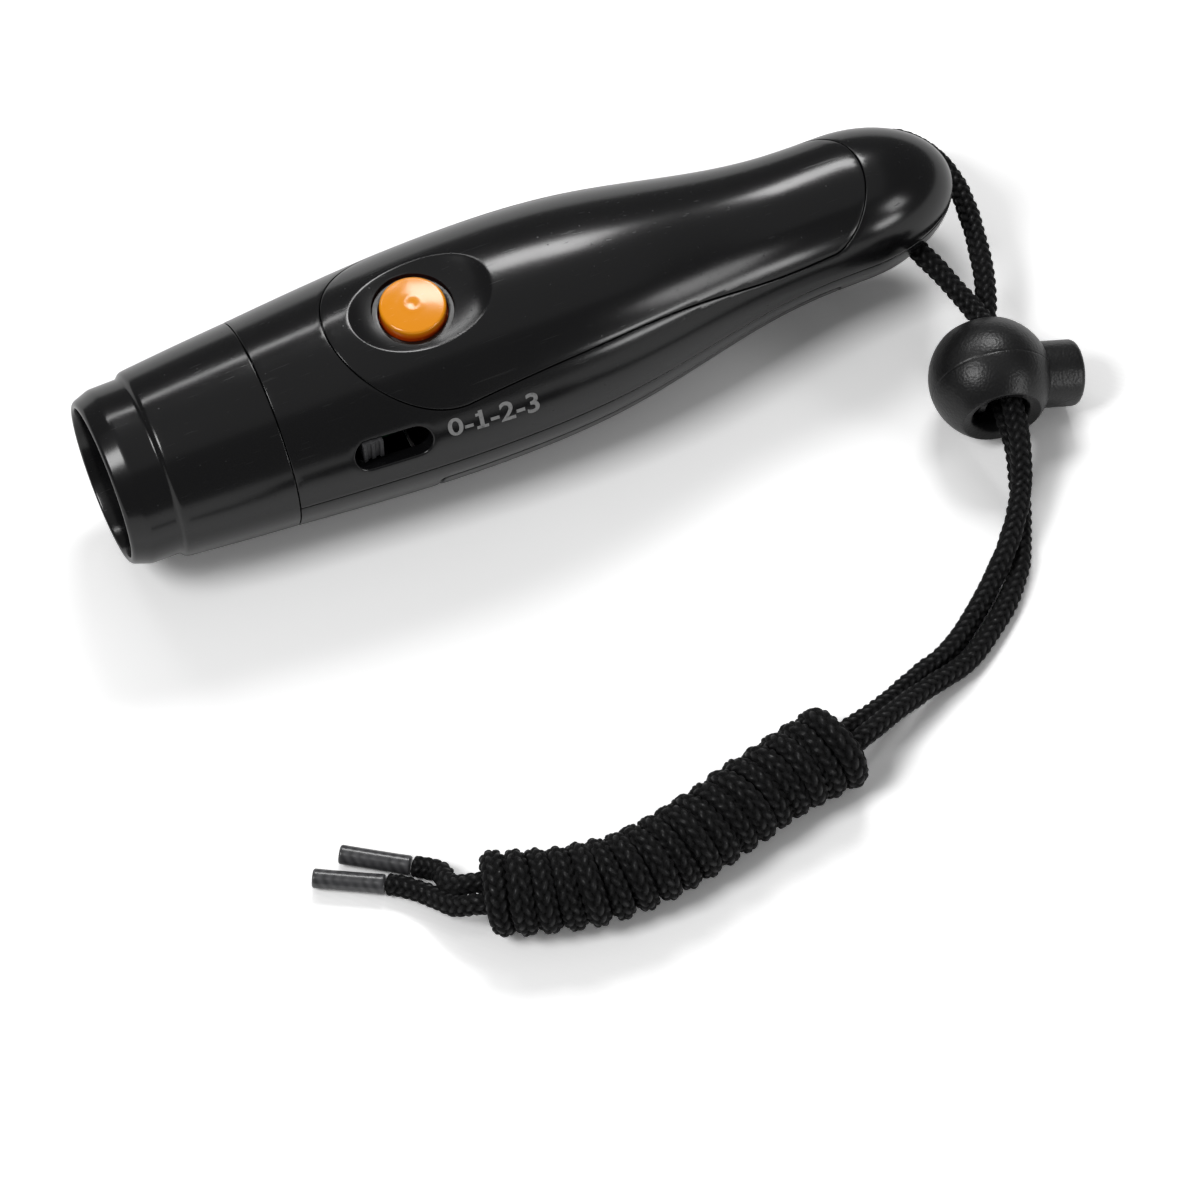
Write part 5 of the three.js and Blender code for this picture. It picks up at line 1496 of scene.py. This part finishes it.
def makeBall():
    radius, flat, hole = lock["radius"], lock["flat"], lock["holeRadius"]
    edge = math.asin(flat / radius)
    arc = []
    for angle in np.linspace(-edge + 0.02, edge - 0.02, 121):
        along, r = radius * math.sin(angle), radius * math.cos(angle)
        groove = lock["seamDepth"] * math.exp(-((along - lock["seam"]) / lock["seamWidth"]) ** 2)
        arc.append((along, r - groove))
    lower = filleted([
        (0.0, hole), (-flat + 1.5, hole, 0.5), (-flat + 0.5, hole + 0.45, 0.35),
        (-flat + 0.02, radius * math.cos(edge) - 0.08),
    ])
    upper = lower[::-1] * (-1, 1)
    ball = lockForm("lockBall", np.vstack([lower, arc, upper[:-1]]), 144, "y", closed=True)
    bore = lock["plungerRadius"] + lock["boreGap"]
    end = -lock["bore"]
    mouth = [(place, bore + wider) for place, wider in lock["boreMouth"]]
    line = [(end, 0), (end, bore), *mouth, (mouth[-1][0], 0)]
    cutWith(ball, lockForm("lockBore", line, 96, "x"))
    dress(ball, "housing", "satin_black", "cord_lock_body")


def makePlunger():
    inner, end, radius = -lock["head"], lock["plungerEnd"], lock["plungerRadius"]
    plunger = lockForm("lockPlunger", filleted([
        (inner, 0), (inner, radius, 0.3), (end, radius, 1.1), (end, 1.5, 0.2), (end - 0.12, 0),
    ]), 96, "x")
    hole = lock["holeRadius"] + lock["holeRoom"]
    line = [(-20, 0), (-20, hole), (20, hole), (20, 0)]
    cutWith(plunger, lockForm("plungerHole", line, 64, "y", (lock["travel"], 0, 0)))
    dress(plunger, "cord_lock_button", "satin_black", "cord_lock_plunger")


makeBall()
makePlunger()
print("cord lock made")

# springs: their form is the CAD's
def makeSpring(node, name):
    mesh = nodes[node].data.copy()
    coat(mesh, platedSteel)
    piece = newObject(name, mesh)
    points = np.array([tuple(vert.co) for vert in mesh.vertices])
    dress(piece, "housing", "steel", node)
    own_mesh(piece)


makeSpring("button_return_spring", "buttonSpring")
makeSpring("cord_lock_spring", "lockSpring")
print("springs made")

# finishes of the CAD nodes that stay
finishes = [
    (innerBlack, "horn_grille transducer_ring battery_cradle"),
    (paperCone, "transducer_diaphragm"),
    (ferrite, "transducer_magnet"),
    (platedSteel, "transducer_case housing_screw_front_near housing_screw_front_far housing_screw_rear "
                  "board_screw_front board_screw_rear"),
    (boardGreen, "circuit_board"),
    (resinBlack, "push_switch_body sound_chip transistor"),
    # painted shade: the slide switch's frame, metal in the real switch, and its slider take the darkest
    # satin so the slot reads dark
    (satinBlack, "push_switch_plunger slide_switch_frame slide_switch_slider"),
    (copper, "boost_coil"),
    (cellJacket, "capacitor battery_1 battery_2"),
    (resistorTan, "resistor_1 resistor_2"),
    (nickel, "battery_bridge positive_contact negative_contact bridge_spring negative_spring"),
    (wireRed, "speaker_wire_red battery_wire_red"),
    (wireBlack, "speaker_wire_black battery_wire_black"),
]
for look, names in finishes:
    for name in names.split():
        coat(nodes[name].data, look)
print("inner nodes finished")

# floor and light
studio = {
    "floorSize": 3.0,
    "floorShade": 0.80,
    "mirroredShade": 0.92,
    "shownShade": 1.45,
    "world": 0.14,
    "lamps": [
        # name, way from the whistle, distance, width, height, watts
        ("backStrip", (-0.08, 0.74, 0.68), 1.2, 0.50, 0.07, 1.3),
        ("rearBox", (0.30, 0.57, 0.77), 1.2, 0.40, 0.28, 4.6),
        ("leftBox", (-0.58, -0.06, 0.81), 1.2, 0.36, 0.42, 5.8),
        ("rightFill", (0.63, -0.64, 0.44), 1.3, 0.30, 0.30, 1.5),
        ("lowRight", (0.50, -0.84, 0.19), 1.2, 0.34, 0.16, 1.5),
        ("ceiling", (0.05, 0.02, 1.0), 1.7, 2.4, 2.2, 3.0),
    ],
    "aim": (0.0, -0.02, 0.015),
}


def makeFloor():
    half = studio["floorSize"] / 2
    mesh = bpy.data.meshes.new("floorSheet")
    corners = [(-half, -half, 0), (half, -half, 0), (half, half, 0), (-half, half, 0)]
    mesh.from_pydata(corners, [], [(0, 1, 2, 3)])
    made, place = emptyMaterial("floorCloth")
    mesh.materials.append(made)
    weave = place.node(
        "ShaderNodeTexWave", {"bands_direction": "DIAGONAL"},
        {"Vector": place, "Scale": 520.0, "Distortion": 0.6, "Detail": 1.0, "Detail Scale": 2.0},
    )
    shade = weave.blend(rgb(0.97, 0.97, 0.97), rgb(1, 1, 1))
    rays = [f"Is {ray} Ray" for ray in ("Camera", "Glossy", "Transmission")]
    seen, glossy, clear = (place.node("ShaderNodeLightPath", out=ray) for ray in rays)
    mirrored = seen.maths("MINIMUM", glossy + clear, 1.0)
    base = studio["floorShade"]
    level = seen * (studio["shownShade"] - base) + mirrored * (studio["mirroredShade"] - base) + base
    shown = place.node("ShaderNodeVectorMath", {"operation": "SCALE"}, {0: shade, "Scale": level})
    cloth = place.node("ShaderNodeBsdfDiffuse", None, {"Color": shown})
    place.node("ShaderNodeOutputMaterial", None, {"Surface": cloth}, None)
    newObject("floorSheet", mesh)


def makeLight():
    world = bpy.data.worlds.new("studio")
    bpy.context.scene.world = world
    world.use_nodes = True
    around = world.node_tree.nodes["Background"].inputs
    around["Color"].default_value = rgb(1, 1, 1)
    around["Strength"].default_value = studio["world"]
    for name, way, distance, width, height, power in studio["lamps"]:
        data = bpy.data.lights.new(name, "AREA")
        data.shape = "RECTANGLE"
        data.size, data.size_y, data.energy = width, height, power
        away = Vector(way).normalized()
        level = Vector((-away.y, away.x, 0)).normalized() if abs(away.z) < 0.99 else Vector((-1, 0, 0))
        turn = Matrix((level, away.cross(level), away)).transposed()
        place = Matrix.Translation(Vector(studio["aim"]) + away * distance)
        newObject(name, data).matrix_world = place @ turn.to_4x4()


makeFloor()
makeLight()
bpy.context.scene.view_settings.view_transform = "Standard"
print("floor and light made")
